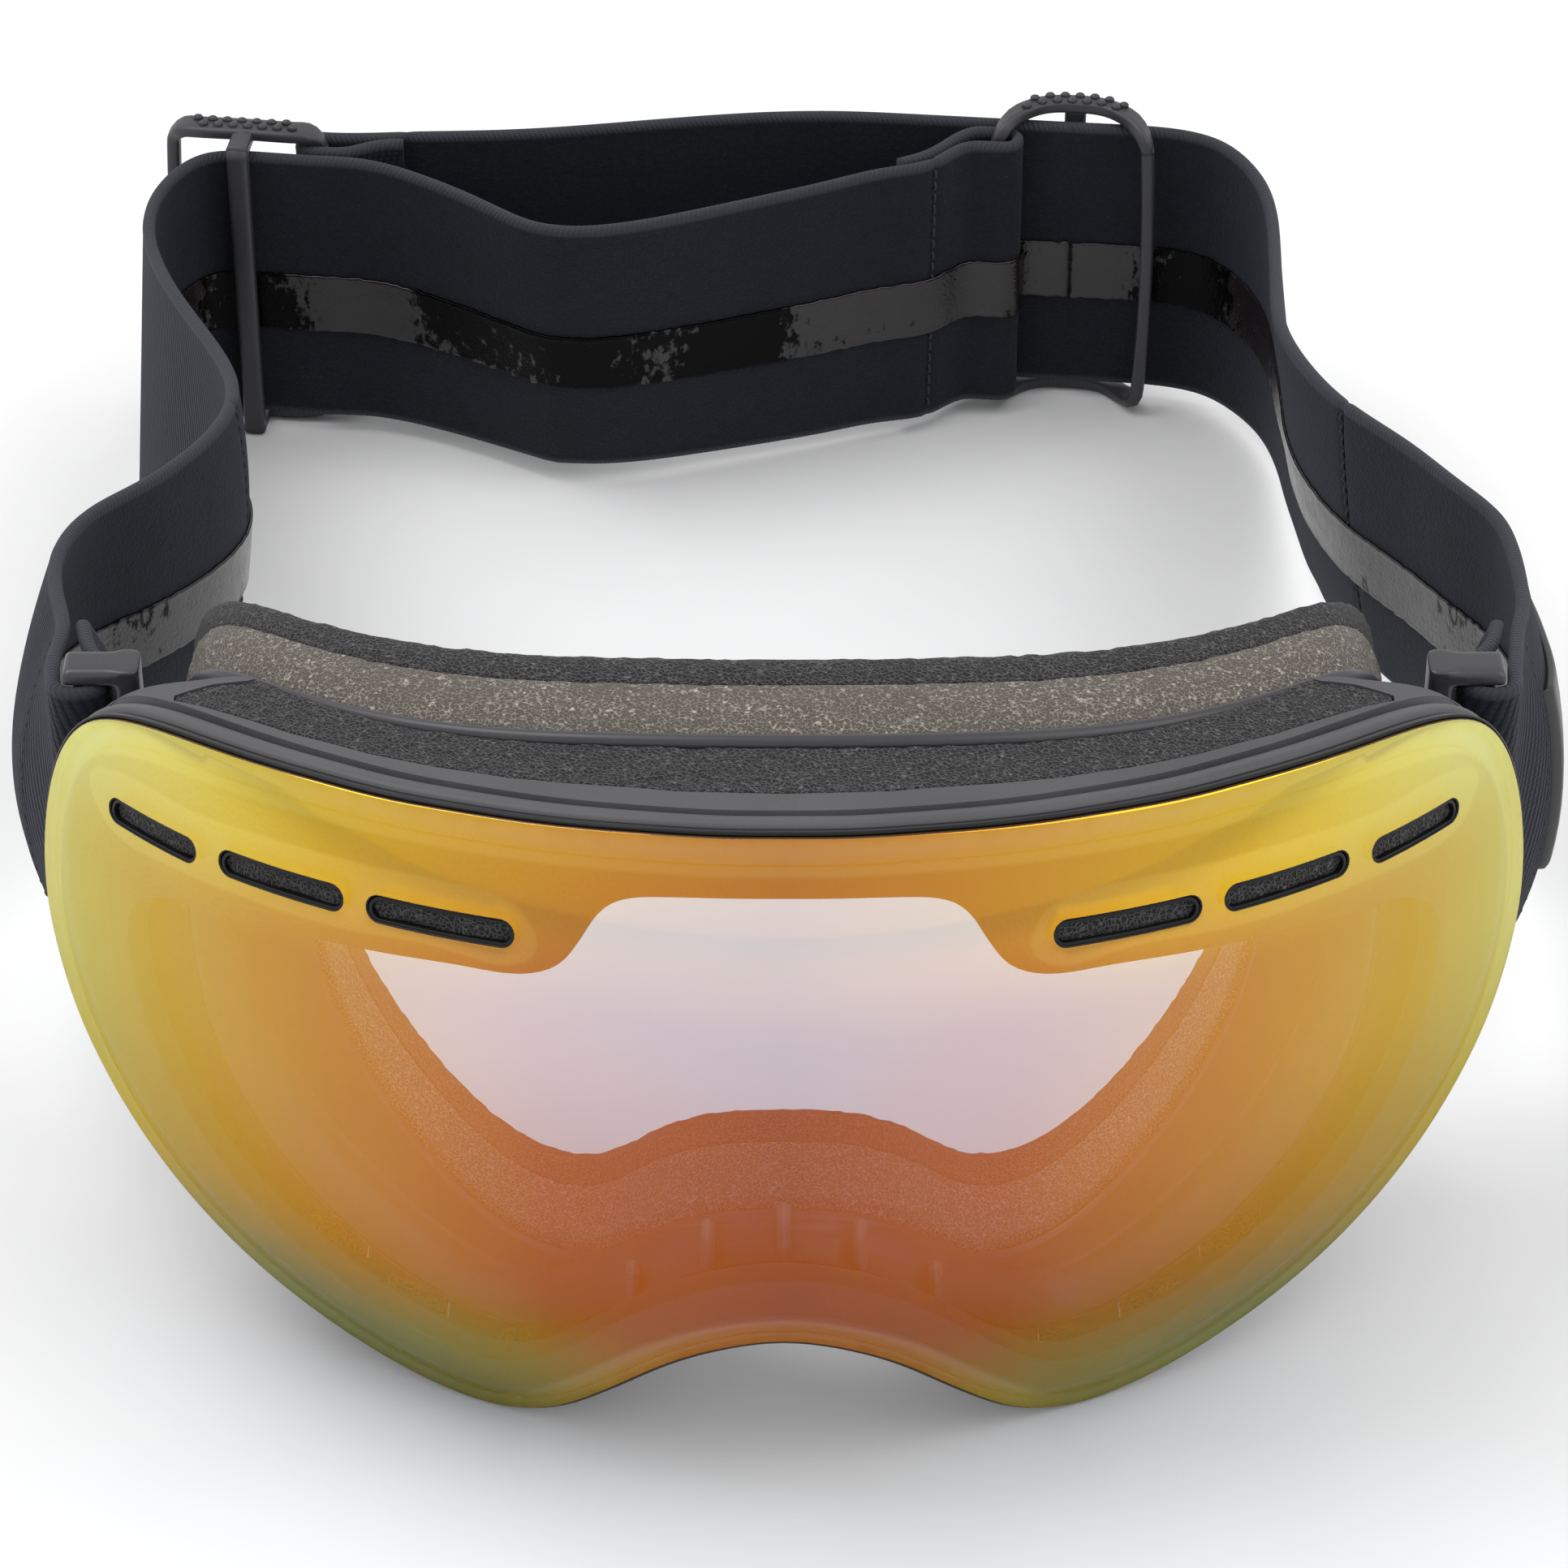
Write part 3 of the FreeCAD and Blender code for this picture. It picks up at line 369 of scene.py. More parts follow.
def foam(name, dark, mid, light, cell=1500.0, dist=0.00035):
    m = Mat(name)
    ob = m.tc.outputs["Object"]
    w = m.n("TexNoise", ins={"Vector": ob, "Scale": 900.0, "Detail": 1.0})
    vec = m.n("VectorMath", operation="MULTIPLY_ADD", ins={0: w.outputs["Color"], 1: (0.0006, 0.0006, 0.0006), 2: ob}).outputs[0]
    v1 = m.n("TexVoronoi", feature="DISTANCE_TO_EDGE", ins={"Vector": vec, "Scale": cell}).outputs["Distance"]
    h = m.mapr(v1, 0.0, 0.17, 1.0, 0.0)
    sp = m.n("TexNoise", ins={"Vector": ob, "Scale": 2400.0, "Detail": 1.0}).outputs[0]
    hl = m.math("MULTIPLY", h, m.mapr(sp, 0.35, 0.68))
    big = m.n("TexNoise", ins={"Vector": ob, "Scale": 120.0, "Detail": 1.0}).outputs[0]
    # cell hollows take the dark colour and walls the mid colour: painted shade in the pores
    c = m.mix(h, dark, mid)
    # light flecks only on the cell walls: painted highlights
    c = m.mix(hl, c, light)
    c = m.mix(m.mapr(big, 0.3, 0.7, 0.0, 0.25), c, dark)
    n1 = m.bump(h, 1.0, dist)
    m.bsdf(c, 0.8, n1, **{"Specular IOR Level": 0.35, "Sheen Weight": 0.15})
    return m.m


def webbing(name, base, light):
    m = Mat(name)
    uv = m.tc.outputs["UV"]
    sep = m.n("SeparateXYZ", ins={0: uv})
    s_, t_ = sep.outputs[0], sep.outputs[1]      # mm along, mm across
    side = m.n("Attribute", attribute_name="side").outputs["Fac"]
    edge = m.n("Attribute", attribute_name="edge").outputs["Fac"]
    # outer face: diagonal rib rows of knitted elastic
    d = m.math("ADD", m.math("MULTIPLY", s_, 1.0), m.math("MULTIPLY", t_, 0.28))
    wob = m.n("TexNoise", ins={"Vector": uv, "Scale": 0.7, "Detail": 2.0}).outputs[0]
    d = m.math("ADD", d, m.math("MULTIPLY", wob, 0.35))
    rib = m.math("ABSOLUTE", m.math("SINE", m.math("MULTIPLY", d, math.pi / 1.05)))
    st = m.math("ABSOLUTE", m.math("SINE", m.math("MULTIPLY", t_, math.pi / 0.8)))
    ribh = m.math("MULTIPLY", rib, m.math("ADD", m.math("MULTIPLY", st, 0.45), 0.55))
    # inner face: short plush knit
    cmb = m.n("CombineXYZ", ins={0: m.math("MULTIPLY", s_, 1.0), 1: m.math("MULTIPLY", t_, 1.25), 2: 0.0}).outputs[0]
    v = m.n("TexVoronoi", feature="F1", ins={"Vector": cmb, "Scale": 1.6, "Randomness": 0.75}).outputs["Distance"]
    fz = m.n("TexNoise", ins={"Vector": cmb, "Scale": 3.6, "Detail": 4.0, "Roughness": 0.7}).outputs[0]
    plush = m.math("ADD", m.math("MULTIPLY", m.mapr(v, 0.0, 0.7, 1.0, 0.0), 0.5), m.math("MULTIPLY", fz, 0.6))
    # selvage: fine cord along the edge
    cord = m.math("ABSOLUTE", m.math("SINE", m.math("ADD", m.math("MULTIPLY", s_, math.pi / 0.75), m.math("MULTIPLY", t_, 2.0))))
    isout = m.mapr(side, -0.2, 0.2)
    hm = m.n("Mix", data_type="FLOAT", ins={0: isout, 2: plush, 3: ribh}).outputs[0]
    h = m.n("Mix", data_type="FLOAT", ins={0: edge, 2: hm, 3: m.math("MULTIPLY", cord, 0.6)}).outputs[0]
    big = m.n("TexNoise", ins={"Vector": uv, "Scale": 0.12, "Detail": 3.0}).outputs[0]
    # colour follows relief height: low parts of the knit take the dark base as painted shade, raised parts the lighter
    # colour as painted highlight
    c = m.mix(m.mapr(h, 0.15, 0.95), base, light)
    c = m.mix(m.mapr(big, 0.3, 0.7, 0.0, 0.35), c, (*[x * 0.7 for x in base[:3]], 1))
    lint = m.n("TexNoise", ins={"Vector": cmb, "Scale": 2.2, "Detail": 1.0}).outputs[0]
    c = m.mix(m.mapr(lint, 0.74, 0.8, 0.0, 0.35), c, (0.11, 0.12, 0.15, 1))
    c = m.mix(m.math("MULTIPLY", edge, 0.5), c, (0.06, 0.062, 0.072, 1))
    n1 = m.bump(h, 0.9, 0.00022)
    m.bsdf(c, 0.85, n1, **{"Specular IOR Level": 0.25, "Sheen Weight": 0.06, "Sheen Roughness": 0.5, "Sheen Tint": (0.6, 0.65, 0.8, 1)})
    return m.m


def silicone(name):
    m = Mat(name)
    uv = m.tc.outputs["UV"]
    sep = m.n("SeparateXYZ", ins={0: uv})
    s_, t_ = sep.outputs[0], sep.outputs[1]
    st = m.n("CombineXYZ", ins={0: m.math("MULTIPLY", s_, 0.55), 1: m.math("MULTIPLY", t_, 0.35), 2: 0.0}).outputs[0]
    nz = m.n("TexNoise", ins={"Vector": st, "Scale": 0.9, "Detail": 6.0, "Roughness": 0.65}).outputs[0]
    fine = m.n("TexNoise", ins={"Vector": uv, "Scale": 1.7, "Detail": 3.0}).outputs[0]
    lg = m.n("CombineXYZ", ins={0: m.math("MULTIPLY", s_, 0.036), 1: m.math("MULTIPLY", t_, 0.02), 2: 3.7}).outputs[0]
    big = m.n("TexNoise", ins={"Vector": lg, "Scale": 1.0, "Detail": 1.0}).outputs[0]
    pt = m.math("ADD", m.math("MULTIPLY", m.math("SUBTRACT", big, 0.5), 1.9), m.math("SUBTRACT", nz, 0.5))
    shine = m.mapr(pt, -0.10, -0.03)
    c = m.mix(shine, (0.0018, 0.0016, 0.0018, 1), (0.011, 0.008, 0.009, 1))
    h = m.math("ADD", m.math("MULTIPLY", nz, 0.5), m.math("MULTIPLY", fine, 0.5))
    n1 = m.bump(h, 0.55, 0.0003)
    r = m.mapr(nz, 0.3, 0.7, 0.10, 0.30)
    m.bsdf(c, r, n1, **{"Specular IOR Level": m.mapr(shine, 0.0, 1.0, 0.06, 0.52)})
    return m.m


def lens_mirror():
    m = Mat("lens_mirror")
    ob = m.tc.outputs["Object"]
    sep = m.n("SeparateXYZ", ins={0: ob})
    ax = m.math("MULTIPLY", m.math("ABSOLUTE", sep.outputs[0]), 1000 / 90.0)
    z = sep.outputs[2]
    wv = m.n("TexNoise", ins={"Vector": ob, "Scale": 22.0, "Detail": 1.0}).outputs[0]
    ax = m.math("ADD", ax, m.math("MULTIPLY", m.math("SUBTRACT", wv, 0.5), 0.05))
    # mirror tint: the change across |x| is the coating's own shift with angle; the darker bands under the top one are
    # partly painted reflection of the shaded floor near the goggles
    top = m.ramp(ax, [(0.0, srgb(188, 116, 8)), (0.20, srgb(198, 130, 6)), (0.42, srgb(206, 152, 4)), (0.58, srgb(208, 166, 6)),
                      (0.70, srgb(206, 180, 50)), (0.82, srgb(203, 190, 92)), (0.93, srgb(198, 198, 122)), (1.0, srgb(198, 200, 140))])
    mid = m.ramp(ax, [(0.0, srgb(150, 74, 18)), (0.30, srgb(164, 86, 24)), (0.45, srgb(176, 108, 34)), (0.58, srgb(182, 124, 42)),
                      (0.72, srgb(186, 142, 50)), (0.84, srgb(187, 156, 62)), (0.93, srgb(188, 172, 82)), (1.0, srgb(196, 192, 126))])
    bot = m.ramp(ax, [(0.0, srgb(178, 104, 24)), (0.18, srgb(178, 124, 30)), (0.32, srgb(164, 142, 52)), (0.48, srgb(152, 146, 78)),
                      (0.64, srgb(128, 134, 84)), (0.78, srgb(132, 138, 98)), (0.90, srgb(156, 158, 128)), (1.0, srgb(172, 174, 150))])
    wz = m.math("MULTIPLY", m.math("SUBTRACT", wv, 0.5), 0.012)
    zz_ = m.math("ADD", z, wz)
    # blend the bands by height: coating tint plus painted reflection of the dim, shaded floor below
    c = m.mix(m.mapr(zz_, 0.088, 0.070, 0.0, 1.0, "SMOOTHSTEP"), top, mid)
    c = m.mix(m.mapr(zz_, 0.034, 0.006, 0.0, 1.0, "SMOOTHSTEP"), c, bot)
    # painted light: over the marked areas the mirror colour is lifted to stand in for the lit gasket and vent plates
    # seen through the lens
    painted_see_through = m.n("Attribute", attribute_name="painted_see_through").outputs["Fac"]
    c = m.mix(m.math("MULTIPLY", painted_see_through, 1.0), c, m.mix(1.0, c, (0.045, 0.052, 0.022, 1), "ADD"))
    nz = m.n("TexNoise", ins={"Vector": ob, "Scale": 260.0, "Detail": 1.0}).outputs[0]
    nb = m.bump(nz, 0.02, 0.00004)
    g = m.n("BsdfGlossy", ins={"Color": c, "Roughness": 0.05, "Normal": nb})
    lw = m.n("LayerWeight", ins={"Blend": 0.12}).outputs["Fresnel"]
    tcol = m.mix(lw, (0.33, 0.60, 0.80, 1), (0.12, 0.2, 0.26, 1))
    tr = m.n("BsdfTransparent", ins={"Color": tcol})
    ad = m.n("AddShader", ins={0: g.outputs[0], 1: tr.outputs[0]})
    m.link(ad.outputs[0], m.out.inputs[0])
    return m.m


def clear(name, tint, gloss=0.03):
    m = Mat(name)
    ob = m.tc.outputs["Object"]
    nz = m.n("TexNoise", ins={"Vector": ob, "Scale": 30.0, "Detail": 2.0}).outputs[0]
    g = m.n("BsdfGlossy", ins={"Color": (gloss * 0.5, gloss * 0.5, gloss * 0.5, 1), "Roughness": 0.04, "Normal": m.bump(nz, 0.02, 0.0002)})
    tr = m.n("BsdfTransparent", ins={"Color": (*tint, 1)})
    ad = m.n("AddShader", ins={0: g.outputs[0], 1: tr.outputs[0]})
    m.link(ad.outputs[0], m.out.inputs[0])
    return m.m


M = dict(
    lens=lens_mirror(), lens_body=clear("lens_body", (0.97, 0.96, 0.94), 0.02), inner=clear("inner_clear", (0.95, 0.93, 0.92)),
    lens_edge=plastic("lens_edge", (0.045, 0.02, 0.006), 0.22, 900.0, 0.05, 0.00001),
    gasket=plastic("gasket_foam", (0.035, 0.03, 0.028), 0.7, 1500.0, 0.6, 0.0001),
    ring=plastic("ring_plastic", (0.028, 0.028, 0.032), 0.38, 2600.0, 0.15, 0.00002),
    liner=plastic("liner_plastic", (0.006, 0.006, 0.007), 0.3, 1800.0, 0.1, spec=0.25),
    frame=plastic("frame_plastic", (0.062, 0.062, 0.067), 0.5, 3200.0, 0.3, 0.00003, 0.0005),
    soft=plastic("soft_frame", (0.034, 0.034, 0.038), 0.34, 2200.0, 0.12, 0.00003, 0.0004),
    rib=plastic("soft_rib_painted_highlight", (0.12, 0.11, 0.11), 0.3, 2200.0, 0.12, 0.00003),
    # nose ribs: a lighter copy of the soft frame plastic, painted highlight on the ribs
    hook=plastic("hook_plastic", (0.035, 0.035, 0.040), 0.3, 1400.0, 0.2, 0.00004, 0.0006),
    slider=plastic("slider_plastic", (0.03, 0.03, 0.034), 0.42, 2200.0, 0.25, 0.00003, 0.0003),
    badge=plastic("badge_rubber", (0.016, 0.016, 0.018), 0.42, 1200.0, 0.4, 0.00005, 0.0003),
    ventfoam=foam("vent_foam", (0.003, 0.003, 0.0035, 1), (0.011, 0.011, 0.013, 1), (0.15, 0.15, 0.16, 1), 1700.0),
    basefoam=foam("base_foam", (0.075, 0.058, 0.045, 1), (0.24, 0.205, 0.165, 1), (0.60, 0.55, 0.47, 1), 1800.0, 0.0003),
    topfoam=foam("top_foam", (0.003, 0.003, 0.0035, 1), (0.011, 0.011, 0.014, 1), (0.15, 0.15, 0.16, 1), 1700.0),
    lining=foam("lining_fleece", (0.010, 0.010, 0.012, 1), (0.03, 0.03, 0.033, 1), (0.07, 0.07, 0.075, 1), 1900.0, 0.0002),
    web=webbing("webbing", (0.0042, 0.0048, 0.0085, 1), (0.0130, 0.0148, 0.0240, 1)),
    sil=silicone("silicone"),
    thread=plastic("thread", (0.016, 0.018, 0.026), 0.75, 1500.0, 0.6, 0.0001),
)

# ---------------------------------------------------------------- lens module
A = to_map(loop(LENS_HALF))
G = to_map(loop(SPACER_IN_HALF))
B = loop(FLANGE_HALF)
O = loop(OPEN_HALF)
r0, r1, r2, r3 = 105.0, 103.6, 100.6, 99.4


def inside(poly, pts):
    x, y = pts[:, 0], pts[:, 1]
    c = np.zeros(len(pts), bool)
    px, py = poly[:, 0], poly[:, 1]
    qx, qy = np.roll(px, -1), np.roll(py, -1)
    for a, b, e, f in zip(px, py, qx, qy):
        if b == f:
            continue
        k = ((b > y) != (f > y)) & (x < (e - a) * (y - b) / (f - b) + a)
        c ^= k
    return c


def dist_poly(poly, pts):
    a, b = poly, np.roll(poly, -1, 0)
    best = np.full(len(pts), 1e9)
    for p, q in zip(a, b):
        d = q - p
        L = d @ d
        if L < 1e-12:
            continue
        t = np.clip(((pts - p) @ d) / L, 0, 1)
        best = np.minimum(best, np.linalg.norm(pts - p - t[:, None] * d, axis=1))
    return best


def slot_loop(a, b, r, n=18):
    m = to_map([a, b])
    u = m[1] - m[0]; u /= np.linalg.norm(u)
    w = np.array([-u[1], u[0]])
    out = []
    for k in range(n + 1):
        t = -math.pi / 2 + math.pi * k / n
        out.append(m[1] + r * (math.cos(t) * u + math.sin(t) * w))
    for k in range(n + 1):
        t = math.pi / 2 + math.pi * k / n
        out.append(m[0] + r * (math.cos(t) * u + math.sin(t) * w))
    L = np.linalg.norm(m[1] - m[0])
    ex = int(L / 1.5)
    seg1 = [out[2 * n + 1] + (out[0] - out[2 * n + 1]) * k / ex for k in range(1, ex)]
    seg2 = [out[n] + (out[n + 1] - out[n]) * k / ex for k in range(1, ex)]
    return np.array(out[:n + 1] + seg2 + out[n + 1:] + seg1)


def mirx(p):
    q = np.array(p)[::-1].copy()
    q[:, 0] *= -1
    return q


def all_slots(r):
    s = [slot_loop(a, b, r) for a, b in SLOTS]
    return s + [mirx(q) for q in s]


plateR = even(to_map(PLATE), 150, True)
if np.sum(plateR[:, 0] * np.roll(plateR[:, 1], -1) - plateR[:, 1] * np.roll(plateR[:, 0], -1)) < 0:
    plateR = plateR[::-1].copy()
plates = [plateR, mirx(plateR)]


def patch(outline, holes, lines, step=1.7):
    # triangles inside an outline, clear of the holes, following the given lines
    loops = [outline] + holes + lines
    P = np.vstack(loops)
    E = []
    k = 0
    for l in loops:
        n = len(l)
        E += [(k + i, k + (i + 1) % n) for i in range(n)]
        k += n
    lo, hi = outline.min(0), outline.max(0)
    gx = np.arange(lo[0], hi[0], step)
    gy = np.arange(lo[1], hi[1], step * 0.866)
    g = np.array([(x + (0.5 * step if j % 2 else 0), y) for j, y in enumerate(gy) for x in gx])
    keep = inside(outline, g) & (dist_poly(outline, g) > step * 0.5)
    for l in holes + lines:
        keep &= dist_poly(l, g) > step * 0.4
    for h in holes:
        keep &= ~inside(h, g)
    P = np.vstack([P, g[keep]])
    co, _, fa, ov, _, _ = delaunay_2d_cdt([Vector(p) for p in P], E, [], 0, 1e-5)
    co = np.array([(v.x, v.y) for v in co])
    fa = np.array([list(f) for f in fa if len(f) == 3])
    cen = co[fa].mean(1)
    ok = inside(outline, cen)
    for h in holes:
        ok &= ~inside(h, cen)
    return co, fa[ok]


def lens_solid(name, outline, holes, lines, ra, rb, mats, bev=0.5, painted_see_through=None, step=1.7):
    # sphere shell with rounded rims; the coated face gets the first material
    oi = offset(outline, -bev)
    hb = 0.2 if len(mats) > 3 else bev
    hi_ = [offset(h, hb) for h in holes]
    co, fa = patch(oi, hi_, lines, step)
    n0 = len(co)
    Vt = [on_ball(co, ra), on_ball(co, rb)]
    F = [fa, fa[:, ::-1] + n0]
    mi = [0] * len(fa) + [1] * len(fa)
    z = [painted_see_through(co) if painted_see_through else np.zeros(n0), np.zeros(n0)]
    base = 2 * n0
    for src, sgn in [(outline, -1)] + [(h, 1) for h in holes]:
        m = len(src)
        bev = hb if sgn > 0 else bev
        rows = [on_ball(offset(src, sgn * bev), ra)]
        for k in range(1, 6):
            a = math.pi / 2 * k / 5
            rows.append(on_ball(offset(src, sgn * bev * (1 - math.sin(a))), ra - bev * (1 - math.cos(a))))
        rows.append(on_ball(src, rb + 0.3))
        rows.append(on_ball(offset(src, sgn * min(0.3, bev * 0.6)), rb))
        rows.append(on_ball(offset(src, sgn * bev), rb))
        Vt.append(np.vstack(rows))
        F.append(np.array(grid_faces(len(rows), m, False, True, base)))
        hole = sgn > 0 and len(mats) > 3
        mi += [3] * (m * 8) if hole else [0] * (m * 2) + [min(2, len(mats) - 1)] * (m * 6)
        # rim rows get part of the same painted see-through light
        z.append(np.ones(len(rows) * m) * 0.6 if painted_see_through else np.zeros(len(rows) * m))
        base += len(rows) * m
    Vt = np.vstack(Vt)
    faces = [tuple(f) for a in F for f in a]
    o = new_obj(name, Vt, faces, mats, attrs={"painted_see_through": np.concatenate(z)}, midx=mi)
    import bmesh
    bm = bmesh.new(); bm.from_mesh(o.data)
    bmesh.ops.remove_doubles(bm, verts=bm.verts, dist=2e-6)
    bmesh.ops.recalc_face_normals(bm, faces=bm.faces)
    bm.to_mesh(o.data); bm.free()
    return o


BAND = offset(A, -4.4)


def lens_painted_see_through(co):
    # 1 over the rim seat and over the vent plates, 0 elsewhere; marks where light from the lit gasket and plates behind
    # the lens is painted into the mirror colour
    d = dist_poly(A, co)
    z = 1 - sstep(4.3, 4.75, d)
    for p in plates:
        q = dist_poly(p, co) * np.where(inside(p, co), 1, -1)
        z = np.maximum(z, 0.85 * sstep(-0.2, 0.25, q))
    q = dist_poly(G, co) * np.where(inside(G, co), 1, -1)
    return z


lens = lens_solid("outer_lens_shell", A, all_slots(1.55), [offset(A, -4.25), offset(A, -4.8)] +
                  [offset(p, d) for p in plates for d in (0.22, -0.27)], r0, r1, [M["lens"], M["lens_body"], M["lens_edge"], M["liner"]], painted_see_through=lens_painted_see_through)
dress(lens, "lens_module", "outer_lens", slot="mirror_lens")
inner = lens_solid("inner_lens_shell", offset(G, 2.6), [], [], r2, r3, [M["inner"], M["lens_body"]], bev=0.3, step=3.0)
dress(inner, "lens_module", "inner_lens", slot="clear_lens")

# spacer gasket between the lenses
gk = lens_solid("gasket_ring", offset(A, -3.7), all_slots(1.65) + [offset(G, 0.0)[::1]], [], r1 - 0.05, r2 + 0.05,
                [M["gasket"], M["gasket"]], bev=0.25, step=3.0)
dress(gk, "lens_module", "lens_gasket", slot="spacer")

# front ring with its bead
prof = [(0.50, 103.25), (0.62, 103.22), (0.95, 103.12), (1.22, 102.92), (1.42, 102.6), (1.54, 102.2), (1.60, 101.75), (1.61, 101.3),
        (1.58, 100.85), (1.50, 100.55), (1.35, 100.42), (0.8, 100.4), (0.6, 99.7), (-2.0, 99.7), (-2.0, 97.6), (-2.9, 97.6),
        (-3.0, 99.8), (-3.4, 101.2), (-3.5, 103.45), (-0.4, 103.45), (-0.1, 102.9), (0.3, 102.85)]
car = ring_obj("front_ring", [on_ball(offset(A, d), r) for d, r in prof], M["frame"])
# black ring round the lens edge: a dark piece standing in for the shaded gap between lens and frame, painted shade
lip = [(0.03, 103.3), (0.02, 104.3), (0.05, 104.55), (0.14, 104.68), (0.28, 104.72), (0.42, 104.66), (0.52, 104.5), (0.58, 104.2),
       (0.60, 103.7), (0.58, 103.2), (0.5, 102.95), (0.2, 102.9)]
lp = ring_obj("lens_rim_shade_lip", [on_ball(offset(A, d), r) for d, r in lip], M["liner"])
dress(lp, "lens_module", "lens_gasket", slot="spacer")
dress(car, "lens_module", "lens_carrier", slot="ring_plastic")

for side_ in ("left", "right"):
    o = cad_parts["lens_vent_liner_" + side_]
    o.data.materials.clear()
    o.data.materials.append(M["liner"])
VENT_PLUGS = []
for side_, sl in (("right", SLOTS), ("left", [((-b[0], b[1]), (-a[0], a[1])) for a, b in SLOTS])):
    for k_, (a, b) in enumerate(sl):
        pl = lens_solid("lens_vent_foam_%s_%d" % (side_, k_ + 1), slot_loop(a, b, 1.40), [], [], 104.1, 101.0,
                        [M["ventfoam"], M["ventfoam"]], bev=0.35, step=0.55)
        dress(pl, "lens_module", "lens_vent_foam_" + side_, slot="vent_foam")
        VENT_PLUGS.append(pl)

# ---------------------------------------------------------------- frame
Fm = offset(A, 1.5)
F3 = on_ball(Fm, 100.4)
F = F3[:, [0, 2]]
for nd, mk in (("outer_frame", "frame"),):
    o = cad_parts[nd]
    o.data.materials.clear()
    o.data.materials.append(M[mk])

# soft face frame: inner tube, flange with a round bead, and five ribs over the nose
fr2 = lambda x, z: ball_y(x, z, 95.5)
bead = []
for k in range(13):
    a = math.pi * k / 12
    bead.append(at(offset(B, -0.55 + 1.05 * math.sin(a)), fl(-1.05 - 1.05 * math.cos(a))))
loops = [at(offset(B, -2.3), fr2), at(offset(B, -2.3), fl(-4.0)), at(offset(B, -2.2), fl(-2.6)), at(offset(B, -1.6), fl(-2.12))] + bead + \
        [at(offset(B, -1.6), fl(-0.02)), at(offset(O, 1.6), fl(0.0)), at(offset(O, 1.1), fl(-0.3)), at(offset(O, 1.0), fl(-0.8)),
         at(offset(O, 1.2), fl(-1.5)), at(offset(O, 1.8), fl(-1.6)), at(offset(B, -4.6), fl(-1.6)), at(offset(B, -3.9), fl(-2.4)),
         at(offset(B, -3.9), fr2)]
face = ring_obj("face_frame_skin", loops, M["soft"])
import bmesh
bm = bmesh.new(); bm.from_mesh(face.data)
n_plain = len(bm.faces)
for i in range(-2, 3):
    x = 9.0 * i
    zt = {0: 33.6, 1: 30.6, 2: 22.6}[abs(i)]
    y0, ln = {0: (9.9, 8.0), 1: (11.0, 7.4), 2: (14.6, 5.4)}[abs(i)]
    mt = Matrix.Translation(Vector(W([x, y0 + ln / 2, zt - 1.6]))) @ \
        Matrix.Diagonal((0.0016, ln * 0.001, 0.0050, 1))
    r = bmesh.ops.create_cube(bm, size=1.0, matrix=mt)
    es = list({e for v in r["verts"] for e in v.link_edges})
    bmesh.ops.bevel(bm, geom=es, offset=0.0004, segments=3, affect="EDGES")
bm.to_mesh(face.data); bm.free()
# ribs take the lighter copy: painted highlight
face.data.materials.append(M["rib"])
face.data.polygons.foreach_set("material_index", [0] * n_plain + [1] * (len(face.data.polygons) - n_plain))
face.data.polygons.foreach_set("use_smooth", [True] * len(face.data.polygons))
dress(face, "root", "face_frame", slot="soft_frame")


# ---------------------------------------------------------------- foams
def rough_up(o, amp, scale, seed=0.0):
    me = o.data
    n = len(me.vertices)
    co = np.zeros(n * 3, np.float32); nr = np.zeros(n * 3, np.float32)
    me.vertices.foreach_get("co", co)
    me.vertex_normals.foreach_get("vector", nr) if hasattr(me, "vertex_normals") else me.vertices.foreach_get("normal", nr)
    co = co.reshape(-1, 3); nr = nr.reshape(-1, 3)
    d = np.array([noise.noise(Vector(c) * scale + Vector((seed, 0, 0))) + 0.5 * noise.noise(Vector(c) * scale * 2.3 + Vector((0, seed, 3)))
                  for c in co.astype(float)])
    co += nr * (d * amp)[:, None].astype(np.float32)
    me.vertices.foreach_set("co", co.ravel())
    me.update()


def pad(name, bo, oo, a, b, rr, mat, steps=10, ease=0.0):
    # ring of foam with rounded outer and inner rear edges
    rows = []
    def pb(d, y):
        return at(offset(B, d), fl(y))
    def po(d, y):
        return at(offset(O, d), fl(y))
    for y in np.linspace(a, b - rr, steps):
        rows.append(pb(bo + ease * math.sin(math.pi * (y - a) / (b - a)), y))
    for k in range(1, 7):
        t = math.pi / 2 * k / 6
        rows.append(pb(bo - rr * (1 - math.cos(t)), b - rr + rr * math.sin(t)))
    pB, pO = pb(bo - rr, b), po(oo + rr, b)
    for k in range(1, 8):
        rows.append(pB + (pO - pB) * k / 8)
    for k in range(6, -1, -1):
        t = math.pi / 2 * k / 6
        rows.append(po(oo + rr * (1 - math.cos(t)), b - rr + rr * math.sin(t)))
    for y in np.linspace(b - rr, a, steps)[1:]:
        rows.append(po(oo, y))
    pB, pO = pb(bo, a), po(oo, a)
    for k in range(7, 0, -1):
        rows.append(pB + (pO - pB) * k / 8)
    o = ring_obj(name, rows, mat)
    rough_up(o, 0.00018, 700.0, bo)
    return o


dress(pad("face_foam_base_pad", -0.6, 0.0, 0.05, 10.6, 0.7, M["basefoam"], 12, 0.5), "root", "face_foam_base", slot="base_foam")
dress(pad("face_foam_top_pad", -0.75, 0.0, 10.3, 16.4, 1.5, M["topfoam"], 8, 0.3), "root", "face_foam_top", slot="top_foam")
dress(pad("face_lining_fleece", -2.4, 0.4, 15.6, 17.2, 0.7, M["lining"], 4), "root", "face_lining", slot="lining")

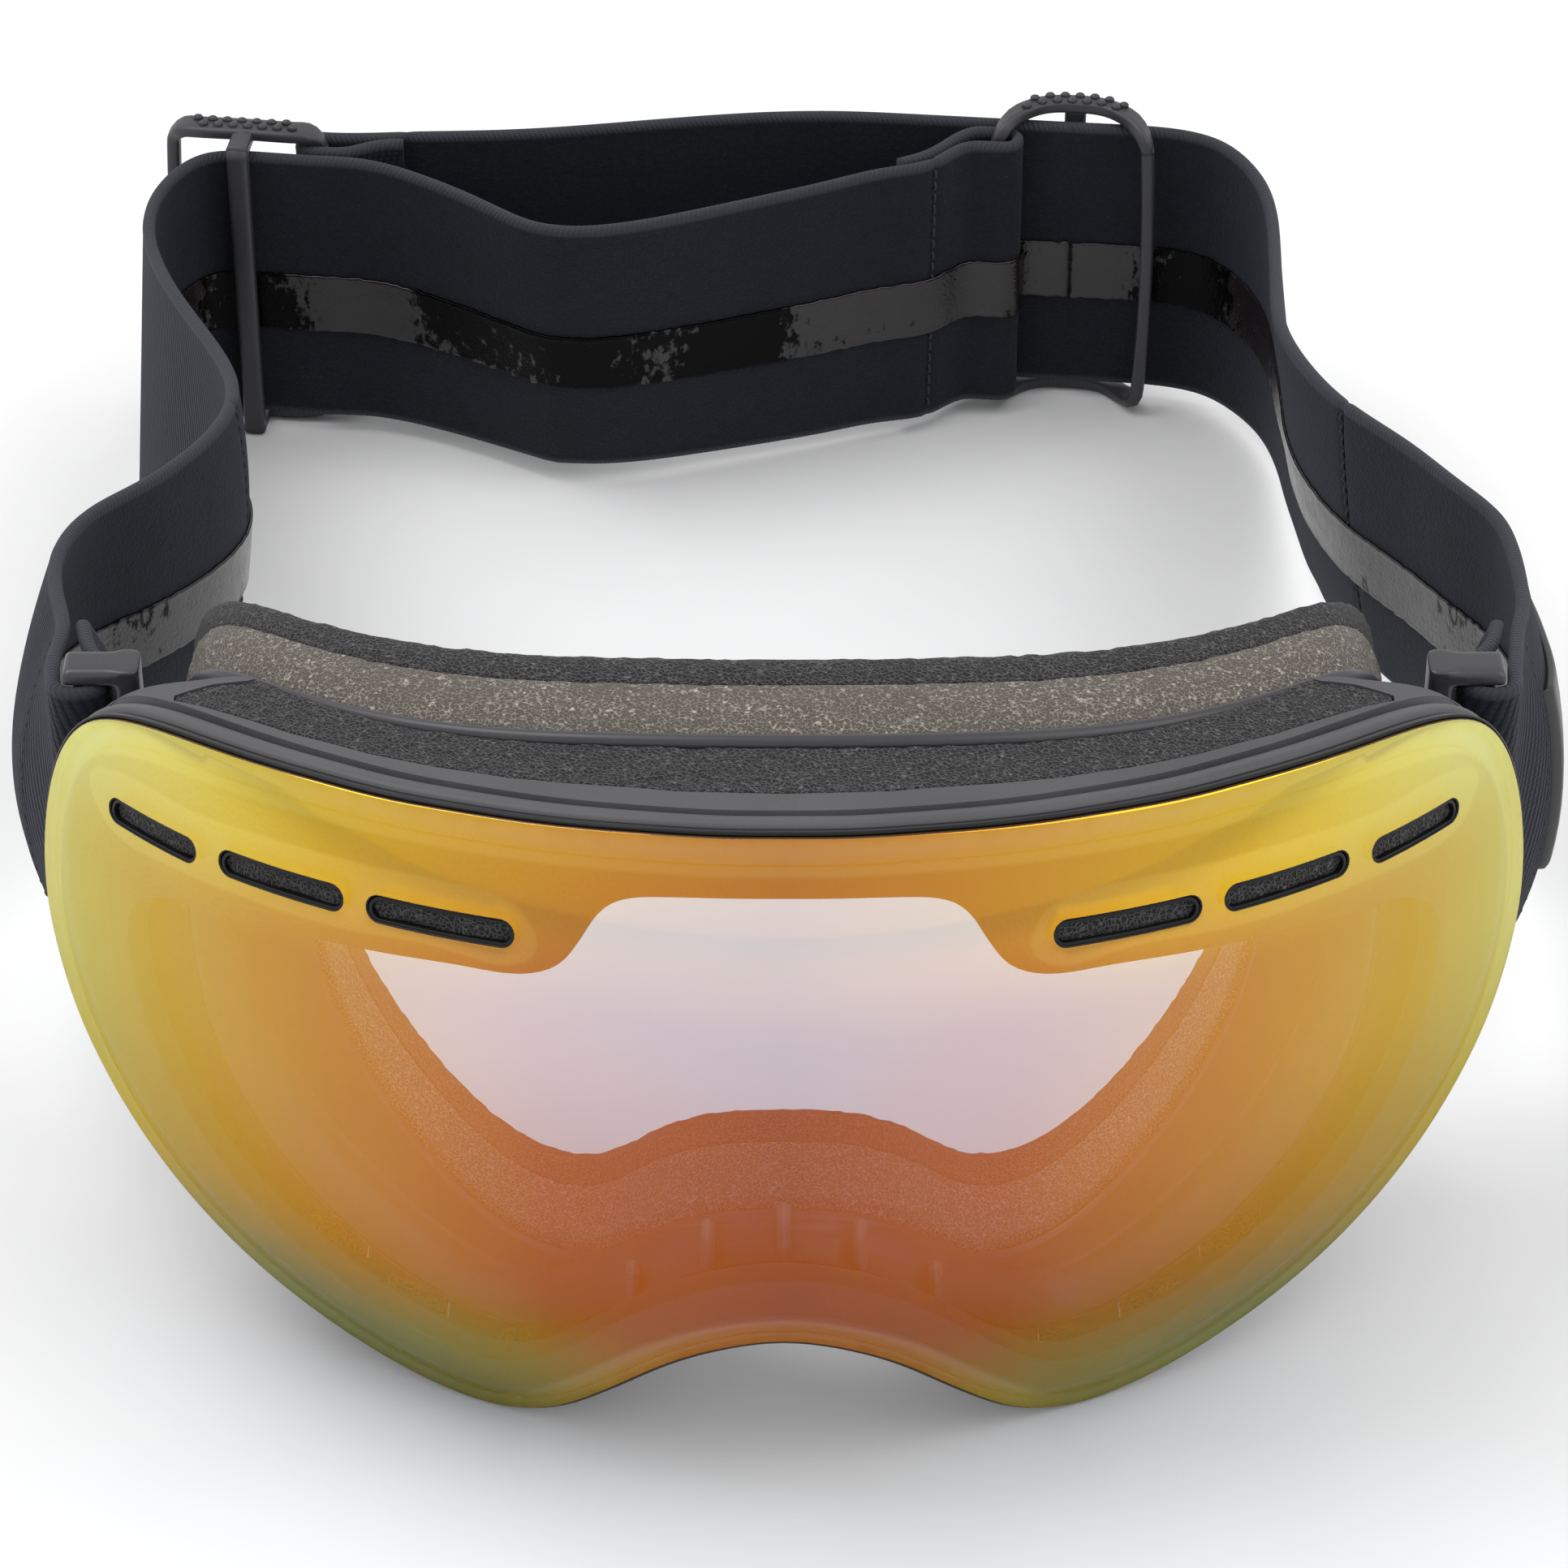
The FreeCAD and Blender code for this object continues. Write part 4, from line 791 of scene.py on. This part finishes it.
# top vent foam, a thin sheet under the brow of the frame
topF = F[F[:, 1] > 70]
topF = topF[np.argsort(topF[:, 0])]
xs = np.linspace(-70.4, 70.4, 240)
zf = np.interp(xs, topF[:, 0], topF[:, 1])
wf = np.interp(np.abs(xs), *np.array(WIN_FRONT).T)
wfc = np.stack([xs, wf], 1)
rear = flange_y(xs, 90.0) - 2.0
rear = np.where(np.abs(xs) > 60, np.minimum(rear, 46.9 - 0.0 * xs), rear)
rows = []
for k in range(0, 40):
    t = k / 39
    y = wf + 0.1 + (rear - wf - 0.1) * t
    e = min(t, 1 - t) * 39
    dz = -0.75 + 0.5 * min(1.0, e / 2.0)
    rows.append(np.stack([xs, y, zf + dz], 1))
V_ = np.vstack([np.vstack(rows), np.vstack([r - [0, 0, 1.0] for r in rows])])
nr_, nc = len(rows), len(xs)
f1 = grid_faces(nr_, nc, False, False)
f2 = f1[:, ::-1] + nr_ * nc
b1 = []
idx = lambda i, j, l: l * nr_ * nc + i * nc + j
for j in range(nc - 1):
    b1.append((idx(0, j, 0), idx(0, j + 1, 0), idx(0, j + 1, 1), idx(0, j, 1)))
    b1.append((idx(nr_ - 1, j, 0), idx(nr_ - 1, j + 1, 0), idx(nr_ - 1, j + 1, 1), idx(nr_ - 1, j, 1)))
for i in range(nr_ - 1):
    b1.append((idx(i, 0, 0), idx(i + 1, 0, 0), idx(i + 1, 0, 1), idx(i, 0, 1)))
    b1.append((idx(i, nc - 1, 0), idx(i + 1, nc - 1, 0), idx(i + 1, nc - 1, 1), idx(i, nc - 1, 1)))
tv = fix_normals(new_obj("top_vent_foam_sheet", V_, list(map(tuple, f1)) + list(map(tuple, f2)) + b1, M["ventfoam"]))
rough_up(tv, 0.00018, 800.0)
dress(tv, "root", "top_vent_foam", slot="vent_foam")
for k_, pl in enumerate(VENT_PLUGS):
    rough_up(pl, 0.00022, 1300.0, k_ * 3.1)


def sheet_from(node, name, mat, cell=0.0008, rough=0.00014, smooth=3, shape=None):
    # soft sheet remeshed over its solid, with an open, uneven face
    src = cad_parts[node]
    me = src.data.copy()
    if shape:
        for v in me.vertices:
            v.co = shape(v.co)
    o = bpy.data.objects.new(name, me)
    o.matrix_world = src.matrix_world.copy()
    bpy.context.scene.collection.objects.link(o)
    bpy.context.view_layer.update()
    md = o.modifiers.new("remesh", "REMESH")
    md.mode = "VOXEL"
    md.voxel_size = cell
    md2 = o.modifiers.new("smooth", "SMOOTH")
    md2.factor, md2.iterations = 0.5, smooth
    dg = bpy.context.evaluated_depsgraph_get()
    new = bpy.data.meshes.new_from_object(o.evaluated_get(dg))
    o.modifiers.clear()
    o.data = new
    new.name = name
    new.materials.clear()
    new.materials.append(mat)
    new.polygons.foreach_set("use_smooth", [True] * len(new.polygons))
    if rough:
        rough_up(o, rough, 1100.0, 7.0)
    return o


def hook_shape(v):
    # the top finger sits close over the strap
    x = abs(v.x)
    x = 0.082 + (x - 0.082) * 0.75 if x > 0.082 else x
    z = 0.0754 + (v.z - 0.0767) * 0.75 if v.z > 0.0767 else v.z - 0.0013 * min(1.0, max(0.0, (v.z - 0.0700) / 0.0067))
    return Vector((math.copysign(x, v.x), v.y, z))


for side_ in ("left", "right"):
    lv = sheet_from("lower_vent_foam_" + side_, "lower_vent_sheet_" + side_, M["ventfoam"])
    dress(lv, "root", "lower_vent_foam_" + side_, slot="vent_foam")
    hk = sheet_from(side_ + "_outrigger", side_ + "_hook", M["hook"], 0.0003, 0.0, 9, hook_shape)
    dress(hk, "root", side_ + "_outrigger", slot="hook_plastic")


# ---------------------------------------------------------------- webbing
TL = np.array(TOP_LINE)
_tl, _tL = spline(TL)
_tld = _tl(np.linspace(0, _tL, 600))


def top_z(y):
    return np.interp(y, _tld[:, 0], _tld[:, 1])


H = 45.0


class Strap:
    """Path rows are (x, y, lean, bow) of the top edge; sgn gives the side the outward normal is on."""
    def __init__(s, path, sgn, ds=0.9, drop=0.0):
        p = np.asarray(path, float)
        ev, L = spline(p[:, :2])
        t = np.concatenate([[0], np.cumsum(np.linalg.norm(np.diff(p[:, :2], axis=0), axis=1))])
        n = int(L / ds)
        u = np.linspace(0, L, n + 1)
        d = ev(u)
        s.s = np.concatenate([[0], np.cumsum(np.linalg.norm(np.diff(d, axis=0), axis=1))])
        s.p = d
        le, bo = np.interp(u, t, p[:, 2]), np.interp(u, t, p[:, 3])
        k = np.ones(9) / 9
        s.lean = np.convolve(np.pad(le, 4, "edge"), k, "valid")
        s.bow = np.convolve(np.pad(bo, 4, "edge"), k, "valid")
        tg = np.gradient(d, axis=0)
        tg /= np.linalg.norm(tg, axis=1)[:, None]
        s.n = np.stack([-tg[:, 1], tg[:, 0]], 1) * sgn
        s.zt = top_z(d[:, 1]) - drop

    def surf(s, t, off=0.0):
        # t: 0 top .. 1 bottom, array or number; off along the face normal, outward
        t = np.broadcast_to(np.asarray(t, float), (len(s.p),))
        a = s._c(t)
        if np.all(off == 0):
            return a
        e = 1e-3
        dt = s._c(np.clip(t + e, 0, 1.2)) - s._c(t - e)
        dsv = np.gradient(a, axis=0)
        nn = np.cross(dsv, dt)
        nn /= np.maximum(np.linalg.norm(nn, axis=1)[:, None], 1e-9)
        sg = np.sign(np.sum(nn[:, :2] * s.n, axis=1))
        sg[sg == 0] = 1
        return a + nn * (sg * off)[:, None]

    def _c(s, t):
        o = s.lean * t + s.bow * 4 * t * (1 - t)
        xy = s.p + s.n * o[:, None]
        return np.stack([xy[:, 0], xy[:, 1], s.zt - H * t], 1)

    def mesh(s, name, mat, i0=0, i1=None, seams=(), half=0.85):
        # closed band with corded edges
        i1 = len(s.p) if i1 is None else i1
        prof = []
        ed = 0.9
        for t in np.linspace(ed / H + 0.012, 1 - ed / H - 0.012, 26):
            prof.append((t, half, 1, 0))
        for k in range(9):
            a = math.pi * k / 8
            prof.append((1 - ed / H + ed / H * math.sin(a), 0.9 * math.cos(a), math.cos(a), 1))
        for t in np.linspace(1 - ed / H - 0.012, ed / H + 0.012, 26):
            prof.append((t, -half, -1, 0))
        for k in range(9):
            a = math.pi * k / 8
            prof.append((ed / H - ed / H * math.sin(a), -0.9 * math.cos(a), -math.cos(a), 1))
        rows, uv, sd, eg = [], [], [], []
        ln = s.s[i0:i1]
        dent = np.zeros(len(s.s))
        for sm in seams:
            dent += 0.45 * np.exp(-((s.s - sm) / 0.55) ** 2)
        for t, o, sg, e in prof:
            q = s.surf(t, o * (1 - dent))
            q = q[i0:i1]
            rows.append(q)
            uv.append(np.stack([ln, np.full(len(ln), t * H)], 1))
            sd.append(np.full(len(ln), sg)); eg.append(np.full(len(ln), e))
        nr, nc = len(rows), len(rows[0])
        f = [tuple(q) for q in grid_faces(nr, nc, True, False)]
        V_ = np.vstack(rows)
        f.append(tuple(k * nc for k in range(nr)))
        f.append(tuple(k * nc + nc - 1 for k in range(nr))[::-1])
        o = new_obj(name, V_, f, mat, uvs=np.vstack(uv), attrs={"side": np.concatenate(sd), "edge": np.concatenate(eg)})
        return fix_normals(o)

    def stripe(s, name, mat, t0, t1, i0, i1, sgn, half=0.85, th=0.4, seed=1.0):
        # raised silicone band with an uneven edge on one face
        ln = s.s[i0:i1]
        j0 = np.array([0.007 * noise.noise(Vector((v * 0.8, seed, 0))) + 0.004 * noise.noise(Vector((v * 2.9, seed, 5))) for v in ln])
        j1 = np.array([0.007 * noise.noise(Vector((v * 0.8, seed, 9))) + 0.004 * noise.noise(Vector((v * 2.9, seed, 2))) for v in ln])
        rows, uv = [], []
        spec = [(0.0, half - 0.05)] + [(0.0, half + th * 0.75), (0.012, half + th * 1.15), (0.05, half + th)] + \
               [(x, half + th) for x in np.linspace(0.12, 0.88, 10)] + \
               [(0.95, half + th), (0.988, half + th * 1.15), (1.0, half + th * 0.75), (1.0, half - 0.05)]
        full = lambda a: np.interp(np.arange(len(s.s)), np.arange(i0, i1), a)
        for x, o in spec:
            t = t0 + (t1 - t0) * x + full(j0) * (1 - x) + full(j1) * x
            q = s.surf(t, sgn * o)[i0:i1]
            rows.append(q)
            uv.append(np.stack([ln, np.full(len(ln), x * (t1 - t0) * H)], 1))
        nr, nc = len(rows), len(rows[0])
        f = [tuple(q) for q in grid_faces(nr, nc, True, False)]
        f.append(tuple(k * nc for k in range(nr)))
        f.append(tuple(k * nc + nc - 1 for k in range(nr))[::-1])
        return fix_normals(new_obj(name, np.vstack(rows), f, mat, uvs=np.vstack(uv)))

    def at_y(s, y, lo=0):
        # first station past a given y
        return lo + int(np.argmin(np.abs(s.p[lo:, 1] - y)))


def bar_arc(sgn, r=3.0):
    # round the front of the outrigger bar, from the inside to the outside
    return [(sgn * (BAR_X - r * math.cos(a)), BAR_Y - r * math.sin(a), 0, 0) for a in np.linspace(0.0, math.pi, 9)]


def slider_axes(cx, cy, slope, side):
    l = math.hypot(1.0, slope)
    ux, uy = 1.0 / l, slope / l
    vx, vy = -uy * side, ux * side
    return lambda u, v: (cx + ux * u + vx * v, cy + uy * u + vy * v)


PL = slider_axes(-79.7, 236.0, -0.12, 1)
PR = slider_axes(43.0, 244.3, -0.10, -1)

left_path = [(-86.2, 81.6, 3.7, 4.8), (-85.5, 78.2, 3.4, 4.6), (-83.8, 73.5, 1.0, 1.6), (-81.9, 69.5, 0, 0)] + bar_arc(-1) + \
    [(-88.0, 69.2, 0, 0.3), (-88.0, 73.8, 1.5, 2.5), (-87.6, 78.4, 3.6, 5.0), (-89.2, 88.9, 4.2, 5.2), (-90.9, 99.7, 4.0, 3.5),
     (-90.4, 108.2, 4.0, 2.0), (-88.0, 115.6, 4, 1), (-83.2, 123.3, 4, 0), (-78.9, 131.6, 4, -1), (-75.9, 140.0, 4, -2),
     (-74.3, 148.6, 4, -2.5), (-74.4, 157.6, 4, -2.2), (-76.8, 167.7, 4, -1.6), (-80.6, 178.6, 4, -1), (-85.2, 191.3, 4, 0),
     (-89.2, 204.0, 4, 0), (-91.3, 215.0, 3.6, 0), (-91.0, 224.0, 2.6, 0), (-88.6, 231.0, 1.2, 0), (-84.6, 235.4, 0.3, 0), (-79.7, 236.0, 0, 0),
     (-74.0, 235.32, 0, 0), (-68.0, 234.6, 0, 0), (-62.0, 233.7, 0.3, 0), (-57.0, 231.6, 1, 0), (-52.0, 228.4, 2, 0), (-46.2, 223.8, 3.5, 0),
     (-40.5, 218.4, 5.5, 0), (-35.6, 214.6, 6.6, 0), (-30.0, 213.3, 7.0, 0), (-24.0, 214.2, 6.4, 0), (-14.0, 218.0, 5.0, 0), (-3.0, 223.0, 3.4, 0),
     (7.0, 227.6, 2.2, 0), (15.0, 231.2, 1.4, 0), (22.0, 234.0, 0.8, 0)]
right_path = [(87.6, 81.6, 3.1, 4.0), (86.9, 78.2, 3.0, 4.2), (84.6, 73.5, 1.0, 1.6), (81.9, 69.5, 0, 0)] + bar_arc(1) + \
    [(87.9, 69.2, 0, 0.3), (88.4, 73.8, 1.4, 2.4), (88.9, 78.4, 3.0, 4.4), (90.5, 86.0, 3.2, 3.6), (91.4, 95.0, 3.4, 2.4), (91.6, 105.0, 3.6, 1.4),
     (90.6, 114.2, 4.0, 0.6), (86.8, 124.2, 5.0, 0), (81.6, 136.8, 6.2, -0.6), (75.2, 150.0, 7.6, -1.0), (70.9, 163.8, 8.6, -1.0), (68.6, 180.0, 8.8, -0.6),
     (69.2, 196.0, 6.6, 0), (70.0, 209.0, 4.8, 0), (70.3, 219.0, 3.8, 0), (69.6, 227.0, 2.8, 0), (67.2, 234.4, 1.4, 0), (63.2, 239.8, 0.4, 0),
     (58.4, 242.2, 0, 0), (52.0, 243.4, 0, 0), (43.0, 244.3, 0, 0), (32.0, 245.4, 0, 0), (20.0, 246.6, 0, 0), (9.0, 247.5, 0, 0), (-2.0, 247.3, 0, 0), (-14.0, 245.9, 0, 0),
     (-28.0, 243.7, 0, 0), (-38.0, 242.4, 0, 0), (-48.0, 241.8, 0, 0), (-54.0, 241.6, 0, 0)]


def end_loop(P, sgn, tail, pre=()):
    c = 4.65
    return [(*P(u, v), 0, 0) for u, v in tuple(pre) + ((sgn * 14.5, c + 2.3), (sgn * 12.5, c + 2.15), (sgn * 11.0, c + 2.12), (sgn * 9.4, c + 1.95),
            (sgn * 8.35, c + 1.15), (sgn * 8.1, c), (sgn * 8.35, c - 1.15), (sgn * 9.4, c - 1.95),
            (sgn * 11.0, c - 2.12), (sgn * 12.5, c - 2.1), (sgn * 14.5, c - 1.9)) + tail]


left_path += end_loop(PR, -1, ((-16.2, 4.0), (-18.0, 6.3), (-20.0, 9.1), (-22.5, 11.4), (-25.0, 12.9)))
right_path += end_loop(PL, 1, ((16.2, 3.5), (18.2, 4.8), (20.5, 5.8), (23.0, 6.3)))

LS = Strap(left_path, -1)       # interior is on the right of travel
RS = Strap(right_path, 1)
# outward sign: away from the middle of the loop
for S_, c in ((LS, (0, 150)), (RS, (0, 150))):
    k = len(S_.p) // 3
    if np.dot(S_.n[k], S_.p[k] - np.array(c)) < 0:
        S_.n *= -1
        S_.lean *= 1


def nearest(S_, x, y, lo=0):
    return lo + int(np.argmin(np.hypot(S_.p[lo:, 0] - x, S_.p[lo:, 1] - y)))


print("LS normal", LS.n[60], "RS normal", RS.n[60], LS.s[-1], RS.s[-1])
iL = nearest(LS, -79.7, 236.0, 100)
iR = nearest(RS, 43.0, 244.3, 100)
seamL = LS.s[nearest(LS, -74.4, 150.5, 40)]
seamR = RS.s[nearest(RS, 75.0, 150.5, 40)]
seamL2 = LS.s[nearest(LS, 21.5, 234.0, 150)]
seamR2 = RS.s[nearest(RS, -56.0, 241.5, 150)]

L_side = LS.mesh("left_webbing_side", M["web"], 0, iL + 1, (seamL,))
L_back = LS.mesh("left_webbing_back", M["web"], iL, None, (seamL2,))
R_side = RS.mesh("right_webbing_side", M["web"], 0, iR + 1, (seamR,))
R_back = RS.mesh("right_webbing_back", M["web"], iR, None, (seamR2,))


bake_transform(L_side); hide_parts("left_strap_tab")
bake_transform(R_side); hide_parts("right_strap_tab")
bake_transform(L_back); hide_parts("left_strap")
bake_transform(R_back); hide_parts("right_strap")

# silicone: inner faces from just behind the hook loops, through both sliders
g0, g1 = 20.0 / H, 29.6 / H
inL, inR = -1.0, -1.0
a = nearest(LS, -89.4, 84.0, 20)
o = LS.stripe("left_silicone_side", M["sil"], g0, g1, a, iL + 1, inL, seed=1.0)
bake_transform(o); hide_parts("left_tab_grip")
o = LS.stripe("left_silicone_back", M["sil"], g0, g1, iL, nearest(LS, *PR(-8.1, 4.65), lo=200) + 1, inL, seed=2.0)
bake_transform(o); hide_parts("left_strap_grip")
a = nearest(RS, 90.5, 84.0, 20)
o = RS.stripe("right_silicone_side", M["sil"], g0, g1, a, iR + 1, inR, seed=3.0)
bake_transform(o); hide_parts("right_tab_grip")
o = RS.stripe("right_silicone_back", M["sil"], g0, g1, iR, nearest(RS, 6, 247.5, lo=200), inR, seed=4.0)
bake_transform(o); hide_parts("right_strap_grip")


# stitches: short twisted bars across a seam
def stitches(name, S_, s0, side, t0, t1, step, ln, node, rows=1):
    i = int(np.argmin(np.abs(S_.s - s0)))
    Vt, Fc = [], []
    for rw in range(rows):
        ii = i + rw * 2
        z = t0
        while z + ln <= t1:
            pts = []
            for k in range(5):
                t = (z + ln * k / 4) / H
                off = side * (0.52 + 0.30 * math.sin(math.pi * k / 4) + (0.2 if rows > 1 else 0))
                pts.append(S_.surf(np.full(len(S_.p), t), off)[ii])
            pts = np.array(pts)
            tx = np.append(S_.p[min(ii + 1, len(S_.p) - 1)] - S_.p[ii - 1], 0); tx /= np.linalg.norm(tx)
            nn = np.append(S_.n[ii], 0)
            b = len(Vt)
            for p in pts:
                for q in range(6):
                    a_ = 2 * math.pi * q / 6
                    Vt.append(p + 0.24 * (math.cos(a_) * tx + math.sin(a_) * nn))
            for k in range(4):
                for q in range(6):
                    Fc.append((b + k * 6 + q, b + k * 6 + (q + 1) % 6, b + (k + 1) * 6 + (q + 1) % 6, b + (k + 1) * 6 + q))
            Fc.append(tuple(b + q for q in range(6))[::-1]); Fc.append(tuple(b + 24 + q for q in range(6)))
            z += step
    o = fix_normals(new_obj(name, np.array(Vt), Fc, M["thread"]))
    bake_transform(o)
    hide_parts(node)
    return o


stitches("left_seam_threads", LS, seamL, -1, 1.6, 43.4, 2.0, 1.5, "left_seam_stitching")
stitches("right_seam_threads", RS, seamR, -1, 1.6, 43.4, 2.0, 1.5, "right_seam_stitching")
stitches("left_end_threads", LS, seamL2, -1, 1.6, 43.4, 2.0, 1.5, "left_end_stitching")
stitches("right_end_threads", RS, seamR2, 1, 1.6, 43.4, 2.0, 1.5, "right_end_stitching")
stitches("left_loop_threads", LS, LS.s[nearest(LS, -87.7, 78.6, 24)], 1, 1.6, 43.4, 2.0, 1.5, "left_loop_stitching")
stitches("right_loop_threads", RS, RS.s[nearest(RS, 88.9, 78.6, 24)], 1, 1.6, 43.4, 2.0, 1.5, "right_loop_stitching")

# blank badge on the outside of the right strap
i0, i1 = nearest(RS, 89.2, 80.0, 24), nearest(RS, 91.2, 111.0, 24)
rows_, uv_ = [], []
spec = [(0.0, 0.7), (0.0, 1.75), (0.02, 2.0)] + [(x, 2.05) for x in np.linspace(0.05, 0.95, 10)] + [(0.98, 2.0), (1.0, 1.75), (1.0, 0.7)]
ns = i1 - i0
edge_in = np.clip(np.minimum(np.arange(ns), ns - 1 - np.arange(ns)) / 2.0, 0, 1)
for x, of in spec:
    full_off = np.zeros(len(RS.s)); full_off[i0:i1] = 0.7 + (of - 0.7) * np.sqrt(edge_in * (2 - edge_in))
    q = RS.surf(np.full(len(RS.s), (9.6 + 27.0 * x) / H), np.maximum(full_off, 0.01))[i0:i1]
    rows_.append(q)
nr, nc = len(rows_), len(rows_[0])
f = [tuple(q) for q in grid_faces(nr, nc, True, False)] + [tuple(k * nc for k in range(nr)), tuple(k * nc + nc - 1 for k in range(nr))[::-1]]
bd = fix_normals(new_obj("side_badge", np.vstack(rows_), f, M["badge"]))
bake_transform(bd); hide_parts("strap_badge")


# ---------------------------------------------------------------- sliders
def slider(name, P, fold, node, body):
    bm = bmesh.new()
    def tube(path, half_w, half_h, seg=10, up=None, wide=None):
        # rounded bar along a path of 3-D points
        path = np.array(path)
        tg = np.gradient(path, axis=0)
        tg /= np.linalg.norm(tg, axis=1)[:, None]
        ring0 = None
        for p, t in zip(path, tg):
            a = np.cross(t, up); a /= np.linalg.norm(a)
            b = np.cross(a, t)
            ring = []
            hw, hh = half_w, half_h
            if wide:
                g = min(1.0, math.hypot(t[0], t[1]) * 1.15) ** 2
                hh = half_h + (wide - half_h) * g
            for k in range(4 * seg):
                q = 2 * math.pi * k / (4 * seg)
                cx, sx = math.cos(q), math.sin(q)
                ex = 0.55
                ring.append(bm.verts.new(W(p + a * hw * math.copysign(abs(cx) ** ex, cx) + b * hh * math.copysign(abs(sx) ** ex, sx))))
            if ring0:
                for k in range(4 * seg):
                    bm.faces.new((ring0[k], ring0[(k + 1) % (4 * seg)], ring[(k + 1) % (4 * seg)], ring[k]))
            else:
                bm.faces.new(ring[::-1])
            ring0 = ring
        bm.faces.new(ring0)
    vdir = np.array([*(np.array(P(0, 1)) - np.array(P(0, 0))), 0.0])
    udir = np.array([*(np.array(P(1, 0)) - np.array(P(0, 0))), 0.0])
    zz = np.linspace(0.6, 49.4, 30)
    tube([(*P(0, -2.6), z) for z in zz], 1.6, 1.0, up=vdir)
    def rail(u):
        k = 1.0 - min(1.0, abs(u) / 10.8) ** (3 if fold else 4)
        return 4.65 - 7.25 * k if fold else 4.65 - 1.1 * k
    hu, hz, cr = 11.1, 23.95, 3.2
    pts = []
    for cu, cz, a0 in ((hu - cr, hz - cr, 0.0), (-(hu - cr), hz - cr, 0.5 * math.pi), (-(hu - cr), -(hz - cr), math.pi), (hu - cr, -(hz - cr), 1.5 * math.pi)):
        for k in range(9):
            a = a0 + 0.5 * math.pi * k / 8
            pts.append((cu + cr * math.cos(a), cz + cr * math.sin(a)))
    ring2 = even(np.array(pts), 150, True)
    ring2 = np.vstack([ring2, ring2[:2]])
    tube([(*P(u, rail(u)), 25.0 + z) for u, z in ring2], 1.0, 1.0, up=vdir, wide=1.5 if fold else 2.1)
    if not fold:
        for z0 in (1.1, 48.9):
            tube([(*P(0, v), z0) for v in np.linspace(4.4, -3.2, 12)], 1.6, 1.05, up=np.array([0, 0, 1.0]))
    # two rows of grip bumps along both rails
    for z0, sg in ((50.3, 1), (0.15, -1)):
        for row_ in (0, 1):
            for k in range(7):
                u = -7.15 + 2.2 * k + (1.1 if row_ else 0)
                c = (*P(u, rail(u) + (-0.75 if row_ else 0.75)), z0 - 0.15 * sg)
                mt = Matrix.Translation(Vector(W(c))) @ Matrix.Diagonal((0.00075, 0.00062, 0.00055 if sg > 0 else 0.0001, 1))
                bmesh.ops.create_uvsphere(bm, u_segments=12, v_segments=8, radius=1.0, matrix=mt)
    me = bpy.data.meshes.new(name)
    bmesh.ops.recalc_face_normals(bm, faces=bm.faces)
    bm.to_mesh(me); bm.free()
    me.materials.append(M["slider"])
    me.polygons.foreach_set("use_smooth", [True] * len(me.polygons))
    o = bpy.data.objects.new(name, me)
    bpy.context.scene.collection.objects.link(o)
    return dress(o, body, node, slot="slider_plastic")


slider("left_ladder_slider", PL, False, "left_slider", "left_slider_body")
slider("right_ladder_slider", PR, True, "right_slider", "right_slider_body")

# ---------------------------------------------------------------- stage, light, camera
fm = Mat("floor")
nzf = fm.n("TexNoise", ins={"Vector": fm.tc.outputs["Object"], "Scale": 40.0, "Detail": 2.0}).outputs[0]
fm.bsdf(fm.mix(fm.mapr(nzf, 0.3, 0.7), (0.86, 0.86, 0.865, 1), (0.88, 0.88, 0.885, 1)), 0.9, None, **{"Specular IOR Level": 0.1})
bpy.ops.mesh.primitive_plane_add(size=8.0, location=(0, 0, -0.0002))
floor = bpy.context.active_object
floor.name = "floor"
floor.data.materials.append(fm.m)

w = bpy.data.worlds.new("studio")
bpy.context.scene.world = w
w.use_nodes = True
w.node_tree.nodes["Background"].inputs[0].default_value = (1.0, 1.0, 1.0, 1)
w.node_tree.nodes["Background"].inputs[1].default_value = 0.92


def area(name, loc, look, size, power, col=(1, 1, 1)):
    l = bpy.data.lights.new(name, "AREA")
    l.energy = power
    l.size = size
    l.color = col
    o = bpy.data.objects.new(name, l)
    bpy.context.scene.collection.objects.link(o)
    o.location = loc
    o.rotation_mode = "QUATERNION"
    o.rotation_quaternion = (Vector(look) - Vector(loc)).to_track_quat("-Z", "Y")
    return o


area("key", (-0.5, 0.1, 1.1), (0, 0, 0), 0.7, 5.0)
area("fill", (0.7, -0.3, 0.9), (0, 0, 0), 0.8, 3.0)

cam = bpy.data.cameras.new("camera")
cam.sensor_width = 36.0
cam.lens = 6943.93 / 1932 * 36.0
co = bpy.data.objects.new("camera", cam)
bpy.context.scene.collection.objects.link(co)
T_ = np.array([0, 78.376, 50.0])
e_ = math.radians(37)
u_ = np.array([0, -math.cos(e_), math.sin(e_)])
co.location = W(T_ + u_ * 700.0)
co.rotation_mode = "QUATERNION"
co.rotation_quaternion = Vector(-u_).to_track_quat("-Z", "Y")
cam.clip_start, cam.clip_end = 0.01, 50
bpy.context.scene.camera = co
vs = bpy.context.scene.view_settings
vs.view_transform = "Standard"
vs.look = "None"

cy = bpy.context.scene.cycles
cy.max_bounces, cy.diffuse_bounces, cy.glossy_bounces, cy.transmission_bounces, cy.transparent_max_bounces = 6, 2, 3, 3, 12
cy.caustics_reflective = cy.caustics_refractive = False
